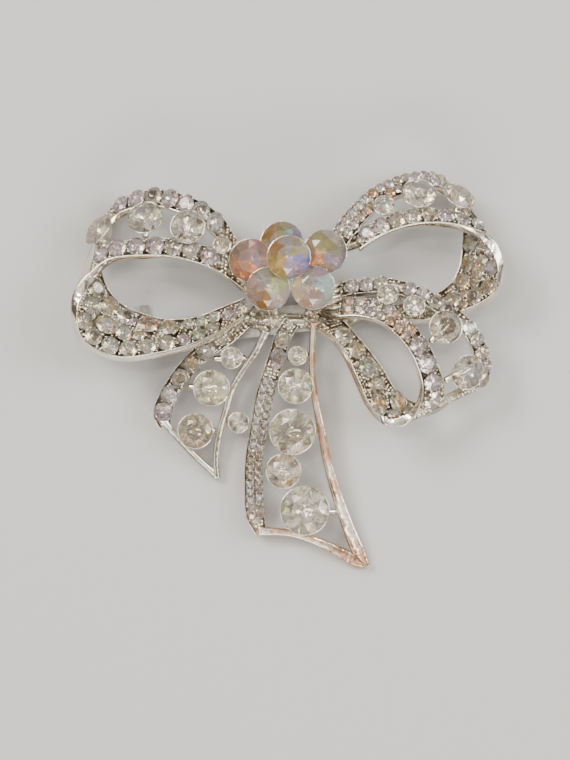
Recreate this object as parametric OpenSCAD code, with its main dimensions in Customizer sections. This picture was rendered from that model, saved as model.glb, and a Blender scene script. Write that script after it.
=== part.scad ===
// Bow brooch of cast silver-coloured metal, set with clear and iridescent stones.
// It lies on its back: +Z comes out of its face, +Y points up the bow, and Z is 0 at the surface.

/* [Left loop] */
// Reach of the left loop from the middle of the knot
left_loop_reach = 31.5; // [29:0.5:34]
// Height of the left loop's outline
left_loop_height = 25; // [23:0.5:27]
// Height of the left loop's front edge above the surface
left_loop_depth = 9.2; // [8.8:0.1:10.2]
// Diameter of the stones on the left loop's two rails
left_rail_stone = 2.5; // [2:0.1:2.6]
// Diameter of the stones inside the left loop
left_inner_stone = 2.55; // [2:0.05:2.6]
// Diameter of the stones where that band narrows
left_narrow_stone = 1.8; // [1.4:0.05:1.9]
// Diameter of the largest main stone of the left loop
left_loop_stone_d = 5; // [4:0.1:5.4]

/* [Upper right loop] */
// Reach of the upper right loop from the middle of the knot
right_loop_reach = 31.3; // [29:0.5:34]
// Height of the upper right loop's outline
right_loop_height = 21.8; // [20:0.2:24]
// Height of the upper right loop's front edge above the surface
right_loop_depth = 9.2; // [8.8:0.1:9.8]
// Diameter of the stones on the upper right loop's near rail
right_rail_stone = 2.2; // [1.8:0.1:2.3]
// Diameter of the paired stones on the upper right loop's far rail
right_pair_stone = 1.3; // [1.1:0.05:1.35]
// Diameter of the stones inside the upper right loop
right_inner_stone = 2.25; // [1.8:0.05:2.3]
// Diameter of the largest main stone of the upper right loop
right_loop_stone_d = 4.8; // [4:0.1:5.1]

/* [Lower right loop] */
// Reach of the lower right loop from the middle of the knot
lower_loop_reach = 29.1; // [27:0.5:31]
// Drop of the lower right loop below the middle of the knot
lower_loop_drop = 24.1; // [22:0.5:26]
// Height of the lower right loop's front edge above the surface
lower_loop_depth = 10; // [9.6:0.1:10.8]
// Diameter of the stones on the lower right loop's far rail
lower_rail_stone = 1.9; // [1.5:0.1:2.1]
// Diameter of the paired stones on the lower right loop's front band
lower_pair_stone = 1.3; // [1.1:0.05:1.35]
// Diameter of the single stones at the end of that band
lower_band_stone = 2.5; // [2:0.1:2.6]
// Diameter of the single stones inside the lower right loop
lower_inner_stone = 2.5; // [2:0.05:2.6]
// Diameter of the paired stones there
lower_inner_pair = 2.1; // [1.7:0.05:2.15]
// Diameter of the largest main stone of the lower right loop
lower_loop_stone_d = 5; // [4:0.1:5.3]

/* [Tails] */
// Length of the left tail from the middle of the knot
left_tail_length = 31.3; // [29:0.5:34]
// Length of the right tail from the middle of the knot
right_tail_length = 44.1; // [41:0.5:47]
// Height of the tails at the knot
tail_depth = 6; // [5.6:0.1:6.4]
// Diameter of the stones on the left tail's rail
left_tail_rail_stone = 2.3; // [1.9:0.1:2.4]
// Diameter of the single stones at the top of the right tail's rail
right_tail_rail_stone = 2; // [1.7:0.1:2.1]
// Diameter of the paired stones down the right tail's rail
right_tail_pair_stone = 1.05; // [0.9:0.05:1.1]
// Diameter of the largest main stone of the left tail
left_tail_stone_d = 5; // [4:0.1:5.3]
// Diameter of the largest main stone of the right tail
right_tail_stone_d = 6.9; // [6:0.1:7.1]
// Width of the plain rails
plain_rail_w = 1.2; // [0.9:0.1:1.5]

/* [Knot] */
// Diameter of the six iridescent stones
knot_stone_d = 6.2; // [5.6:0.1:6.3]
// Distance of the outer knot stones from the middle of the knot
knot_spread = 5.5; // [5.3:0.1:6]
// Height of the middle knot stone's girdle above the surface
knot_height = 12.4; // [12:0.1:14]
// Width of the bar under the knot, which the loops and tails end on
bridge_w = 2.4; // [2:0.1:3]
// Thickness of that bar
bridge_t = 2; // [1.5:0.1:2.4]

/* [Metal and stones] */
// Thickness of the ribbons and rails
ribbon_t = 1.4; // [1.35:0.05:1.6]
// Width of the rims beside the stones
rim_w = 0.24; // [0.2:0.02:0.36]
// Wall of the cups that hold the main stones
cup_wall = 0.22; // [0.18:0.02:0.34]
// Thickness of the bars between the rails
bar_d = 1; // [0.8:0.1:1.2]
// Thickness of the arms under the knot
arm_d = 1.6; // [1.3:0.1:1.8]
// Gap between neighbouring small stones
stone_gap = 0.12; // [0.1:0.01:0.2]
// Gap between a stone and its seat
seat_gap = 0.06; // [0.05:0.01:0.1]

/* [Pin] */
// Length of the pin back
pin_length = 38; // [34:1:41]
// Width of the pin back
pin_w = 4; // [3:0.5:5]
// Height of the pin back, from the surface to its top
pin_height = 3.3; // [3:0.1:3.5]
// Thickness of its bar
pin_bar_t = 1; // [0.8:0.1:1.2]
// Length of its hinge block and of its catch block
pin_block = 2.6; // [2.2:0.1:3.2]
// Reach of the catch's lever past the bar
lever_reach = 2.4; // [1.6:0.1:3]
// Diameter of its stem
stem_d = 0.9; // [0.7:0.05:1.1]
// Gap between the pin back and the bow
pin_gap = 0.1; // [0.1:0.05:0.3]

/* [Hidden] */
// A cut stone: its table, crown and pavilion as shares of its diameter
TABLE = 0.56;
CROWN = 0.17;
PAVILION = 0.36;
// The foot of a main stone's cup, as a share of the stone's diameter
CUP_FOOT = 0.22;
// Height of a main stone's girdle above its rails, as a share of its diameter
RISE = 0.2;

// Columns of the loops' tables, as shares of the loop's reach, height and depth
NEAR_X = 0;
NEAR_Y = 1;
NEAR_Z = 2;
FAR_X = 3;
FAR_Y = 4;
FAR_Z = 5;

// Each row is a place along the ribbon: its near edge and its far edge
left_loop_shape = [
    [0.185, -0.17, 0.87, 0.22, 0.115, 0.71],
    [0.335, -0.035, 0.93, 0.305, 0.295, 0.76],
    [0.5, 0.035, 0.98, 0.43, 0.4, 0.71],
    [0.66, 0.045, 1, 0.6, 0.45, 0.44],
    [0.81, 0.025, 1, 0.755, 0.4, 0.24],
    [0.9, -0.065, 1, 0.835, 0.295, 0.12],
    [0.965, -0.165, 1, 0.87, 0.16, 0.18],
    [0.985, -0.275, 1, 0.875, 0.025, 0.35],
    [0.965, -0.405, 1, 0.85, -0.1, 0.48],
    [0.89, -0.495, 1, 0.785, -0.21, 0.5],
    [0.765, -0.545, 0.98, 0.69, -0.275, 0.48],
    [0.615, -0.525, 0.96, 0.555, -0.32, 0.5],
    [0.45, -0.475, 0.89, 0.415, -0.305, 0.52],
    [0.315, -0.4, 0.82, 0.295, -0.245, 0.54],
    [0.2, -0.31, 0.76, 0.195, -0.195, 0.54]
];
right_loop_shape = [
    [0.205, -0.065, 0.87, 0.185, 0.2, 0.74],
    [0.32, 0.08, 0.93, 0.265, 0.36, 0.76],
    [0.45, 0.2, 0.98, 0.37, 0.505, 0.65],
    [0.59, 0.26, 1, 0.51, 0.6, 0.5],
    [0.725, 0.265, 1, 0.65, 0.625, 0.33],
    [0.85, 0.225, 1, 0.75, 0.555, 0.18],
    [0.935, 0.155, 1, 0.8, 0.44, 0.12],
    [0.98, 0.04, 1, 0.825, 0.305, 0.18],
    [0.985, -0.08, 0.98, 0.825, 0.175, 0.3],
    [0.965, -0.185, 0.92, 0.81, 0.025, 0.38],
    [0.89, -0.265, 0.8, 0.775, -0.095, 0.42],
    [0.805, -0.315, 0.7, 0.705, -0.18, 0.44],
    [0.705, -0.345, 0.63, 0.61, -0.24, 0.46],
    [0.59, -0.375, 0.63, 0.495, -0.265, 0.5],
    [0.285, -0.325, 0.66, 0.285, -0.26, 0.56]
];
lower_loop_shape = [
    [0.25, -0.315, 0.75, 0.26, -0.09, 0.55],
    [0.35, -0.315, 0.85, 0.37, -0.075, 0.6],
    [0.45, -0.345, 0.93, 0.52, -0.07, 0.65],
    [0.53, -0.42, 0.98, 0.68, -0.13, 0.7],
    [0.605, -0.535, 1, 0.83, -0.235, 0.73],
    [0.65, -0.675, 1, 0.945, -0.365, 0.7],
    [0.655, -0.785, 0.98, 1, -0.52, 0.58],
    [0.615, -0.885, 0.95, 0.995, -0.675, 0.48],
    [0.545, -0.945, 0.92, 0.83, -0.78, 0.46],
    [0.465, -0.93, 0.9, 0.715, -0.87, 0.5],
    [0.39, -0.835, 0.88, 0.615, -0.825, 0.56],
    [0.34, -0.7, 0.86, 0.53, -0.755, 0.6],
    [0.285, -0.555, 0.82, 0.465, -0.625, 0.6],
    [0.225, -0.45, 0.76, 0.37, -0.475, 0.58],
    [0.15, -0.385, 0.68, 0.27, -0.325, 0.55]
];

// Columns of a loop: which side it is on, its sizes and its table
SIDE = 0;
REACH = 1;
HEIGHT = 2;
DEPTH = 3;
SHAPE = 4;
left_loop = [-1, left_loop_reach, left_loop_height, left_loop_depth, left_loop_shape];
right_loop = [1, right_loop_reach, right_loop_height, right_loop_depth, right_loop_shape];
lower_loop = [1, lower_loop_reach, lower_loop_drop, lower_loop_depth, lower_loop_shape];

// Columns of the tails' tables: across, down, height and width, as shares of the tail's length,
// of its length, of its height at the knot and of the rail's width
ACROSS = 0;
DOWN = 1;
UP = 2;
WIDE = 3;
left_tail_rail = [
    [-0.2, 0.255, 0.95, 0.95],
    [-0.28, 0.325, 0.9, 1],
    [-0.385, 0.395, 0.8, 1],
    [-0.48, 0.495, 0.7, 1],
    [-0.55, 0.6, 0.6, 1],
    [-0.58, 0.685, 0.5, 1],
    [-0.565, 0.745, 0.42, 0.7]
];
left_tail_side = [
    [-0.1, 0.3, 0.9, 1],
    [-0.15, 0.4, 0.8, 0.9],
    [-0.21, 0.485, 0.7, 0.9],
    [-0.26, 0.575, 0.6, 0.9],
    [-0.29, 0.675, 0.5, 0.9],
    [-0.32, 0.78, 0.4, 0.9],
    [-0.335, 0.88, 0.27, 0.9],
    [-0.33, 0.98, 0.13, 0.9]
];
left_tail_foot = [
    [-0.585, 0.715, 0.44, 1],
    [-0.465, 0.85, 0.27, 0.8],
    [-0.33, 0.98, 0.13, 0.9]
];
right_tail_rail = [
    [0.015, 0.185, 0.95, 0.9],
    [-0.015, 0.235, 0.9, 0.94],
    [-0.03, 0.285, 0.85, 0.94],
    [-0.045, 0.33, 0.8, 0.96],
    [-0.065, 0.395, 0.75, 1],
    [-0.08, 0.455, 0.7, 1],
    [-0.095, 0.545, 0.62, 1],
    [-0.11, 0.645, 0.54, 1],
    [-0.11, 0.735, 0.46, 1.05],
    [-0.105, 0.82, 0.4, 1.05],
    [-0.085, 0.88, 0.35, 0.7]
];
right_tail_side = [
    [0.085, 0.185, 0.9, 0.9],
    [0.08, 0.275, 0.85, 0.8],
    [0.08, 0.355, 0.8, 0.85],
    [0.09, 0.44, 0.72, 0.9],
    [0.11, 0.54, 0.64, 1],
    [0.13, 0.645, 0.54, 1.15],
    [0.16, 0.75, 0.42, 1.3],
    [0.195, 0.85, 0.3, 1.5],
    [0.228, 0.93, 0.2, 1.6],
    [0.26, 0.985, 0.13, 0.8]
];
right_tail_foot = [
    [-0.1, 0.872, 0.36, 1.1],
    [0.005, 0.88, 0.3, 0.9],
    [0.09, 0.905, 0.25, 1],
    [0.165, 0.94, 0.19, 1.3],
    [0.21, 0.965, 0.15, 1.4],
    [0.257, 0.988, 0.13, 0.8]
];

// Columns of a strip: the edge that it follows, its loop or table, its width, where it starts and
// ends, the face that it is open on, its stones' diameter and, on a tail, the tail's length
EDGE = 0;
COURSE = 1;
WIDTH = 2;
START = 3;
END = 4;
FACE = 5;
STONE = 6;
LENGTH = 7;
OUTER = 1;
INNER = -1;
last_row = 14;
function rail_width(stone, lanes) = lanes * stone + (lanes + 1) * stone_gap + 2 * rim_w;
left_near_rail = ["near", left_loop, rail_width(left_rail_stone, 1), 0, 5.1, OUTER, left_rail_stone];
left_far_rail = ["far", left_loop, rail_width(left_rail_stone, 1), 0, 5.1, OUTER, left_rail_stone];
left_inner_band = ["whole", left_loop, 0, 4.95, last_row, INNER, left_inner_stone];
right_near_rail = ["near", right_loop, rail_width(right_rail_stone, 1), 1.1, 5.9, OUTER, right_rail_stone];
right_far_rail = ["far", right_loop, rail_width(right_pair_stone, 2), 0, 5.9, OUTER, right_pair_stone];
right_inner_band = ["whole", right_loop, 0, 5.75, last_row, INNER, right_inner_stone];
lower_near_rail = ["near", lower_loop, rail_width(lower_pair_stone, 2), 0, 7.6, OUTER, lower_band_stone];
lower_far_rail = ["far", lower_loop, rail_width(lower_rail_stone, 1), 0, 7.6, OUTER, lower_rail_stone];
lower_inner_band = ["whole", lower_loop, 0, 7.45, last_row, INNER, lower_inner_stone];
left_tail_strip = ["tail", left_tail_rail, rail_width(left_tail_rail_stone, 1), 0, 6, OUTER,
    left_tail_rail_stone, left_tail_length];
right_tail_strip = ["tail", right_tail_rail, rail_width(right_tail_pair_stone, 2), 0, 10, OUTER,
    right_tail_rail_stone, right_tail_length];
left_side_strip = ["tail", left_tail_side, plain_rail_w, 0, 7, OUTER, 0, left_tail_length];
left_foot_strip = ["tail", left_tail_foot, plain_rail_w, 0, 2, OUTER, 0, left_tail_length];
right_side_strip = ["tail", right_tail_side, plain_rail_w, 0, 9, OUTER, 0, right_tail_length];
right_foot_strip = ["tail", right_tail_foot, plain_rail_w, 0, 5, OUTER, 0, right_tail_length];

// Columns of the rows of small stones: where along the strip a row starts and ends, its place
// across, from -1 beside the near rim to 1 beside the far rim, and its stones' diameter
FIRST = 0;
LAST = 1;
LANE = 2;
ROUND = 3;
left_near_row = [[0.45, 4.85, 0, left_rail_stone]];
left_far_row = [[0.6, 4.3, 0, left_rail_stone]];
left_inner_rows = [
    [7.5, 11.5, -1, left_inner_stone],
    [7.3, 9.5, 0, left_inner_stone],
    [7, 11.5, 1, left_inner_stone],
    [11.55, 13, -1, left_narrow_stone],
    [11.55, 13, 1, left_narrow_stone],
    [13.05, 13.7, 0, left_narrow_stone]
];
right_near_row = [[1.25, 5.8, 0, right_rail_stone]];
right_far_rows = [
    [0.5, 4.6, -1, right_pair_stone],
    [0.5, 4.6, 1, right_pair_stone]
];
right_inner_rows = [
    [7.3, 10.3, -1, right_inner_stone],
    [7.75, 9.15, 0, right_inner_stone],
    [7.3, 10.3, 1, right_inner_stone],
    [10.4, 12.2, 0, right_inner_stone]
];
lower_near_rows = [
    [0.3, 3.6, -1, lower_pair_stone],
    [0.3, 3.6, 1, lower_pair_stone],
    [3.7, 7.1, 0, lower_band_stone]
];
lower_far_row = [[0.3, 7, 0, lower_rail_stone]];
lower_inner_rows = [
    [9.35, 10.5, -1, lower_inner_pair],
    [9.35, 10.5, 1, lower_inner_pair],
    [10.6, 13.7, 0, lower_inner_stone]
];
left_tail_row = [[0.85, 5.4, 0, left_tail_rail_stone]];
right_tail_rows = [
    [0.5, 3, 0, right_tail_rail_stone],
    [3.6, 9.25, -1, right_tail_pair_stone],
    [3.6, 9.25, 1, right_tail_pair_stone]
];

// Columns of the single stones that close the wide gaps between the rows of an inner face: place
// along the strip, place across as in the rows, and diameter as a share of the face's stones
FILL_SPOT = 0;
FILL_LANE = 1;
FILL_SIZE = 2;
left_inner_fill = [
    [6.9, -1, 0.6],
    [9.75, 0, 0.9],
    [10.3, 0, 0.6],
    [13.9, 0, 0.65]
];
right_inner_fill = [
    [6.85, -1, 0.9],
    [7.5, 0, 0.8],
    [9.3, 0, 0.75],
    [10.15, 0, 0.5],
    [10.6, -1, 0.55]
];
lower_inner_fill = [
    [9.1, -0.8, 0.75],
    [9.2, 1, 0.75]
];

// Columns of the loops' main stones: place along the ribbon, place across it from the near edge,
// and diameter as a share of the largest
ALONG = 0;
OVER = 1;
SIZE = 2;
left_loop_stones = [
    [4.6, 0.54, 0.98],
    [3.1, 0.5, 1],
    [1.96, 0.48, 0.94],
    [0.93, 0.48, 0.46]
];
right_loop_stones = [
    [4.7, 0.5, 1],
    [3.36, 0.49, 1],
    [2.27, 0.5, 0.58]
];
lower_loop_stones = [
    [2.05, 0.57, 0.56],
    [3.05, 0.58, 0.58],
    [4.25, 0.63, 0.92],
    [6.03, 0.61, 0.98]
];

// Columns of the tails' main stones: across, down and height as in the rails' tables, then the
// diameter as a share of the largest
TAIL_SIZE = 3;
left_tail_stones = [
    [-0.262, 0.425, 0.75, 0.58],
    [-0.355, 0.565, 0.62, 1],
    [-0.43, 0.765, 0.42, 0.98],
    [-0.23, 0.725, 0.5, 0.56]
];
right_tail_stones = [
    [0.032, 0.295, 0.82, 0.36],
    [0.025, 0.395, 0.75, 0.7],
    [0.015, 0.545, 0.63, 0.93],
    [-0.015, 0.675, 0.52, 0.7],
    [0.055, 0.805, 0.4, 1]
];

// The bars that carry them: the stone, the rail that the bar ends on and the place along that rail
BAR_STONE = 0;
BAR_STRIP = 1;
BAR_PLACE = 2;
left_tail_bars = [
    [0, left_tail_strip, 1.9],
    [0, left_side_strip, 1.5],
    [1, left_tail_strip, 3.3],
    [1, left_side_strip, 2.9],
    [2, left_foot_strip, 0.7],
    [2, left_side_strip, 4.9],
    [3, left_side_strip, 4.5],
    [3, right_tail_strip, 5.8]
];
right_tail_bars = [
    [0, right_tail_strip, 2.2],
    [0, right_side_strip, 1.2],
    [1, right_tail_strip, 4],
    [1, right_side_strip, 2.5],
    [2, right_tail_strip, 6],
    [2, right_side_strip, 4],
    [3, right_tail_strip, 7.3],
    [4, right_foot_strip, 1.6],
    [4, right_side_strip, 6.5]
];

// Columns of the knot's stones: name, across and up as shares of the spread, girdle height as a
// share of the middle stone's, and outward tilt in degrees
KNOT_NAME = 0;
KNOT_X = 1;
KNOT_Y = 2;
KNOT_Z = 3;
KNOT_TILT = 4;
knot_stones = [
    ["knot_stone_top", -0.16, 0.6, 0.66, 8],
    ["knot_stone_left", -0.985, 0.14, 0.76, 8],
    ["knot_stone_right", 0.98, 0.37, 0.8, 8],
    ["knot_stone_low_left", -0.52, -0.615, 0.87, 4],
    ["knot_stone_low_right", 0.66, -0.58, 0.87, 4],
    ["knot_stone_centre", 0.02, 0.21, 1, 0]
];

// The bar under the knot, as shares of the knot's spread
BRIDGE_DOWN = 1.45;
BRIDGE_LEFT = -1.02;
BRIDGE_RIGHT = 1.56;
// Where the arms meet under the knot, as a share of the knot's height
HUB_UP = 0.47;
// Shift of the pin back to the left, as a share of its length, and its turn in degrees
PIN_SHIFT = 0.06;
PIN_TURN = 6.4;
// How far an arm's end stands behind a ribbon's back, as a share of its thickness
ARM_SINK = 0.3;
// Bars and arms are square
bar_sides = 4;
// A small step, for directions and for overlaps within one solid
e = 0.02;

// Places worked out from the sizes above
bridge_y = -knot_spread * BRIDGE_DOWN;
bridge_z = pin_height + pin_gap + bridge_t / 2;
hub = [0, 0, knot_height * HUB_UP];
stem_z = (pin_height - pin_bar_t) / 2;

// The origin is under the middle of the bow's own box
loop_top = max([for (row = right_loop_shape) row[FAR_Y]]);
centre_x = (right_loop_reach - left_loop_reach) / 2;
centre_y = (right_loop_height * loop_top + ribbon_t / 2 - right_tail_length) / 2;

// Small helpers
function unit(v) = v / norm(v);
function mix(a, b, s) = a + (b - a) * s;

// A smooth curve through the rows of a table
function between(rows, t) =
    let (
        i = min(max(floor(t), 0), len(rows) - 2),
        s = t - i,
        b = rows[i],
        c = rows[i + 1],
        a = i > 0 ? rows[i - 1] : 2 * b - c,
        d = i + 2 < len(rows) ? rows[i + 2] : 2 * c - b
    )
    b + 0.5 * s * ((c - a) + s * ((2 * a - 5 * b + 4 * c - d) + s * (3 * (b - c) + d - a)));

// The two edges of a loop's ribbon
function near_edge(loop, t) =
    let (row = between(loop[SHAPE], t))
    [loop[SIDE] * loop[REACH] * row[NEAR_X], loop[HEIGHT] * row[NEAR_Y], loop[DEPTH] * row[NEAR_Z]];
function far_edge(loop, t) =
    let (row = between(loop[SHAPE], t))
    [loop[SIDE] * loop[REACH] * row[FAR_X], loop[HEIGHT] * row[FAR_Y], loop[DEPTH] * row[FAR_Z]];

// A place in a tail's table
function tail_point(table, length, t) = tail_spot(length, between(table, t));
function tail_spot(length, row) = [length * row[ACROSS], -length * row[DOWN], tail_depth * row[UP]];

// The middle of a strip and the direction across it
function strip_middle(strip, t) =
    strip[EDGE] == "tail" ? tail_point(strip[COURSE], strip[LENGTH], t)
    : let (
        near = near_edge(strip[COURSE], t),
        far = far_edge(strip[COURSE], t),
        across = unit(far - near)
    )
    strip[EDGE] == "near" ? near + across * strip_width(strip, t) / 2
    : strip[EDGE] == "far" ? far - across * strip_width(strip, t) / 2
    : (near + far) / 2;
function strip_across(strip, t) =
    strip[EDGE] == "tail" ? unit(cross([0, 0, 1], strip_along(strip, t)))
    : unit(far_edge(strip[COURSE], t) - near_edge(strip[COURSE], t));
function strip_along(strip, t) = unit(strip_middle(strip, t + e) - strip_middle(strip, t - e));
function strip_width(strip, t) =
    strip[EDGE] == "tail" ? strip[WIDTH] * between(strip[COURSE], t)[WIDE]
    : strip[EDGE] == "whole" ? norm(far_edge(strip[COURSE], t) - near_edge(strip[COURSE], t))
    : strip[WIDTH] / slant(strip, t, 0);
// A rail that is crossed on the slant is measured wider there, so that it keeps its true width. On a
// whole ribbon the slant is that of the near edge, below 0, of the far edge, above 0, or between them
function slant(strip, t, side) =
    let (
        loop = strip[COURSE],
        near = near_edge(loop, t + e) - near_edge(loop, t - e),
        far = far_edge(loop, t + e) - far_edge(loop, t - e),
        edge = strip[EDGE] == "near" || (strip[EDGE] == "whole" && side < 0) ? near
            : strip[EDGE] == "far" || (strip[EDGE] == "whole" && side > 0) ? far : near + far
    )
    norm(cross(unit(far_edge(loop, t) - near_edge(loop, t)), unit(edge)));

// A frame is a middle, a direction across, the direction that the strip is open to, and a width
MIDDLE = 0;
CROSS = 1;
OPEN = 2;
SPAN = 3;
function strip_frame(strip, t) =
    let (
        across = strip_across(strip, t),
        along = strip_along(strip, t),
        out = strip[EDGE] == "tail" ? cross(along, across)
            : cross(across, along) * -strip[COURSE][SIDE]
    )
    [strip_middle(strip, t), across, unit(out) * strip[FACE], strip_width(strip, t)];
function strip_frames(strip, steps) =
    [for (i = [0 : steps]) strip_frame(strip, mix(strip[START], strip[END], i / steps))];

// Cross sections, counter-clockwise, as [across, open]
function channel_section(width, stone) =
    let (
        w = width / 2,
        h = ribbon_t / 2,
        rim = min(rim_w, width / 4),
        bed = h - PAVILION * stone - 3 * seat_gap
    )
    [[-w, -h], [w, -h], [w, h], [w - rim, h], [w - rim, bed], [rim - w, bed], [rim - w, h], [-w, h]];
function plain_section(width) =
    let (w = width / 2, h = ribbon_t / 2)
    [[-w, -h], [w, -h], [w, h / 2], [w / 2, h], [-w / 2, h], [-w, h / 2]];
channel_caps = [[0, 1, 4, 5], [1, 2, 3, 4], [5, 6, 7, 0]];
plain_caps = [[0, 1, 2, 3, 4, 5]];

// A solid swept through frames, each with its own section
function sweep_points(frames, sections) = [
    for (i = [0 : len(frames) - 1], p = sections[i])
        frames[i][MIDDLE] + frames[i][CROSS] * p[0] + frames[i][OPEN] * p[1]
];
function sweep_faces(rings, n, caps) = concat(
    caps,
    [for (cap = caps) [for (k = [len(cap) - 1 : -1 : 0]) cap[k] + (rings - 1) * n]],
    [
        for (i = [0 : rings - 2], j = [0 : n - 1], half = [0, 1])
            let (a = i * n + j, b = i * n + (j + 1) % n)
            half == 0 ? [a, a + n, b + n] : [a, b + n, b]
    ]
);
function backwards(faces) = [for (f = faces) [for (k = [len(f) - 1 : -1 : 0]) f[k]]];
module sweep(frames, sections, caps) {
    faces = sweep_faces(len(frames), len(sections[0]), caps);
    onward = frames[1][MIDDLE] - frames[0][MIDDLE];
    turned = cross(frames[0][CROSS], frames[0][OPEN]) * onward < 0;
    polyhedron(sweep_points(frames, sections), turned ? backwards(faces) : faces, convexity = 8);
}
module channel(strip, steps) {
    frames = strip_frames(strip, steps);
    sweep(frames, [for (f = frames) channel_section(f[SPAN], strip[STONE])], channel_caps);
}
module plain_rail(strip, steps) {
    frames = strip_frames(strip, steps);
    sweep(frames, [for (f = frames) plain_section(f[SPAN])], plain_caps);
}

// A stone's place is its girdle's middle, two directions in its plane and the way that it faces
GIRDLE = 0;
WAY_X = 1;
WAY_Y = 2;
UPWARD = 3;
function place_in(frame, across, lift) = [
    frame[MIDDLE] + frame[CROSS] * across + frame[OPEN] * lift,
    frame[CROSS],
    cross(frame[OPEN], frame[CROSS]),
    frame[OPEN]
];

// Stones stand along a row at equal distances, as many as it takes
row_step = 0.1;
function row_place(strip, row, t) =
    let (
        frame = strip_frame(strip, t),
        rim = rim_w + stone_gap + row[ROUND] / 2,
        free = frame[SPAN] / 2 - rim / (strip[EDGE] == "tail" ? 1 : slant(strip, t, row[LANE]))
    )
    place_in(frame, row[LANE] * free, ribbon_t / 2);
function row_lengths(strip, row) =
    let (steps = round((row[LAST] - row[FIRST]) / row_step))
    [
        for (
            i = 0, t = row[FIRST], p = row_place(strip, row, t)[GIRDLE], q = p, run = 0;
            i <= steps;
            i = i + 1, t = row[FIRST] + i * row_step, q = p,
            p = row_place(strip, row, t)[GIRDLE], run = run + norm(p - q)
        )
            [run, t]
    ];
function row_stones(strip, row) =
    let (
        lengths = row_lengths(strip, row),
        total = lengths[len(lengths) - 1][0],
        count = floor(total / (row[ROUND] + stone_gap)),
        pitch = total / count
    )
    [
        for (i = [0 : count - 1])
            let (place = row_place(strip, row, lookup((i + 0.5) * pitch, lengths)))
            if (clear_of_cups(place, row[ROUND])) place
    ];

// Stones of a field are pairs of a place and a diameter
function field_rows(strip, rows) = [
    for (row = rows, place = row_stones(strip, row)) [place, row[ROUND]]
];
function clear_of_stones(place, d, stones) =
    len([
        for (stone = stones)
            if (norm(stone[0][GIRDLE] - place[GIRDLE]) < (stone[1] + d) / 2 + stone_gap) stone
    ]) == 0;
function field_fill(strip, rows, fill) =
    let (stones = field_rows(strip, rows))
    [
        for (spot = fill)
            let (
                d = strip[STONE] * spot[FILL_SIZE],
                place = row_place(strip, [0, 0, spot[FILL_LANE], d], spot[FILL_SPOT])
            )
            if (clear_of_cups(place, d) && clear_of_stones(place, d, stones)) [place, d]
    ];

// A small stone is left out where a main stone's cup would reach it
function cup_depth(d) = d * PAVILION + cup_wall;
function cup_radius(d, below) = mix(d / 2 + cup_wall, d * CUP_FOOT, max(0, below / cup_depth(d)));
function apart(point, r, place, d) =
    let (
        reach = place[GIRDLE] - point,
        below = reach * place[UPWARD],
        aside = norm(reach - place[UPWARD] * below)
    )
    below > cup_depth(d) + r || aside > cup_radius(d, below) + r + stone_gap;
function clear_of_cups(place, d) =
    let (table = place[GIRDLE] + place[UPWARD] * d * CROWN)
    len([
        for (main = main_places)
            let (clear = apart(place[GIRDLE], d / 2, main[0], main[1]))
            if (!clear || !apart(table, d / 2 * TABLE, main[0], main[1])) main
    ]) == 0;

// Small cut stones: an eight-sided table, crown and pavilion each
function small_points(place, d) = [
    for (k = [0 : 7])
        place[GIRDLE] + place[WAY_X] * d / 2 * cos(45 * k) + place[WAY_Y] * d / 2 * sin(45 * k),
    for (k = [0 : 7])
        place[GIRDLE] + place[UPWARD] * d * CROWN
        + place[WAY_X] * d / 2 * TABLE * cos(45 * k + 22.5)
        + place[WAY_Y] * d / 2 * TABLE * sin(45 * k + 22.5),
    place[GIRDLE] - place[UPWARD] * d * PAVILION
];
function small_faces(first) = [
    [for (k = [7 : -1 : 0]) first + 8 + k],
    for (k = [0 : 7]) [first + k, first + 8 + k, first + (k + 1) % 8],
    for (k = [0 : 7]) [first + 8 + k, first + 8 + (k + 1) % 8, first + (k + 1) % 8],
    for (k = [0 : 7]) [first + k, first + (k + 1) % 8, first + 16]
];
small_corners = 17;
module small_stones(stones) {
    points = [for (stone = stones) each small_points(stone[0], stone[1])];
    faces = [for (i = [0 : len(stones) - 1]) each small_faces(i * small_corners)];
    polyhedron(points, faces, convexity = 4);
}
// Strips and rows go in pairs
module stone_field(strips, rows) {
    small_stones([for (i = [0 : len(strips) - 1]) each field_rows(strips[i], rows[i])]);
}
module paved_face(strip, rows, fill) {
    small_stones(concat(field_rows(strip, rows), field_fill(strip, rows, fill)));
}

// Main cut stones: a six-sided table and a twelve-sided girdle, grown for their seats
function main_points(d, grow) =
    let (r = d / 2 + grow)
    [
        for (k = [0 : 11]) [r * cos(30 * k), r * sin(30 * k), 0],
        for (k = [0 : 5]) [r * TABLE * cos(60 * k), r * TABLE * sin(60 * k), d * CROWN + grow],
        [0, 0, -d * PAVILION - grow]
    ];
main_faces = [
    [17, 16, 15, 14, 13, 12],
    for (k = [0 : 5]) [2 * k, 12 + k, 2 * k + 1],
    for (k = [0 : 5]) [2 * k + 1, 12 + k, 12 + (k + 1) % 6],
    for (k = [0 : 5]) [2 * k + 1, 12 + (k + 1) % 6, (2 * k + 2) % 12],
    for (k = [0 : 11]) [k, (k + 1) % 12, 18]
];
module set_at(place) {
    x = place[WAY_X];
    y = place[WAY_Y];
    z = place[UPWARD];
    o = place[GIRDLE];
    multmatrix([[x[0], y[0], z[0], o[0]], [x[1], y[1], z[1], o[1]], [x[2], y[2], z[2], o[2]], [0, 0, 0, 1]])
        children();
}
module main_stone(place, d) {
    set_at(place) polyhedron(main_points(d, 0), main_faces);
}
// The seat is the grown stone
module main_seat(place, d) {
    set_at(place) polyhedron(main_points(d, seat_gap), main_faces);
}
// A cup is widest just under the girdle and holds the stone all round
module cup(place, d) {
    depth = cup_depth(d);
    set_at(place) translate([0, 0, -depth])
        cylinder(h = depth - seat_gap / 2, r1 = d * CUP_FOOT, r2 = d / 2 + cup_wall, $fn = 12);
}

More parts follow.
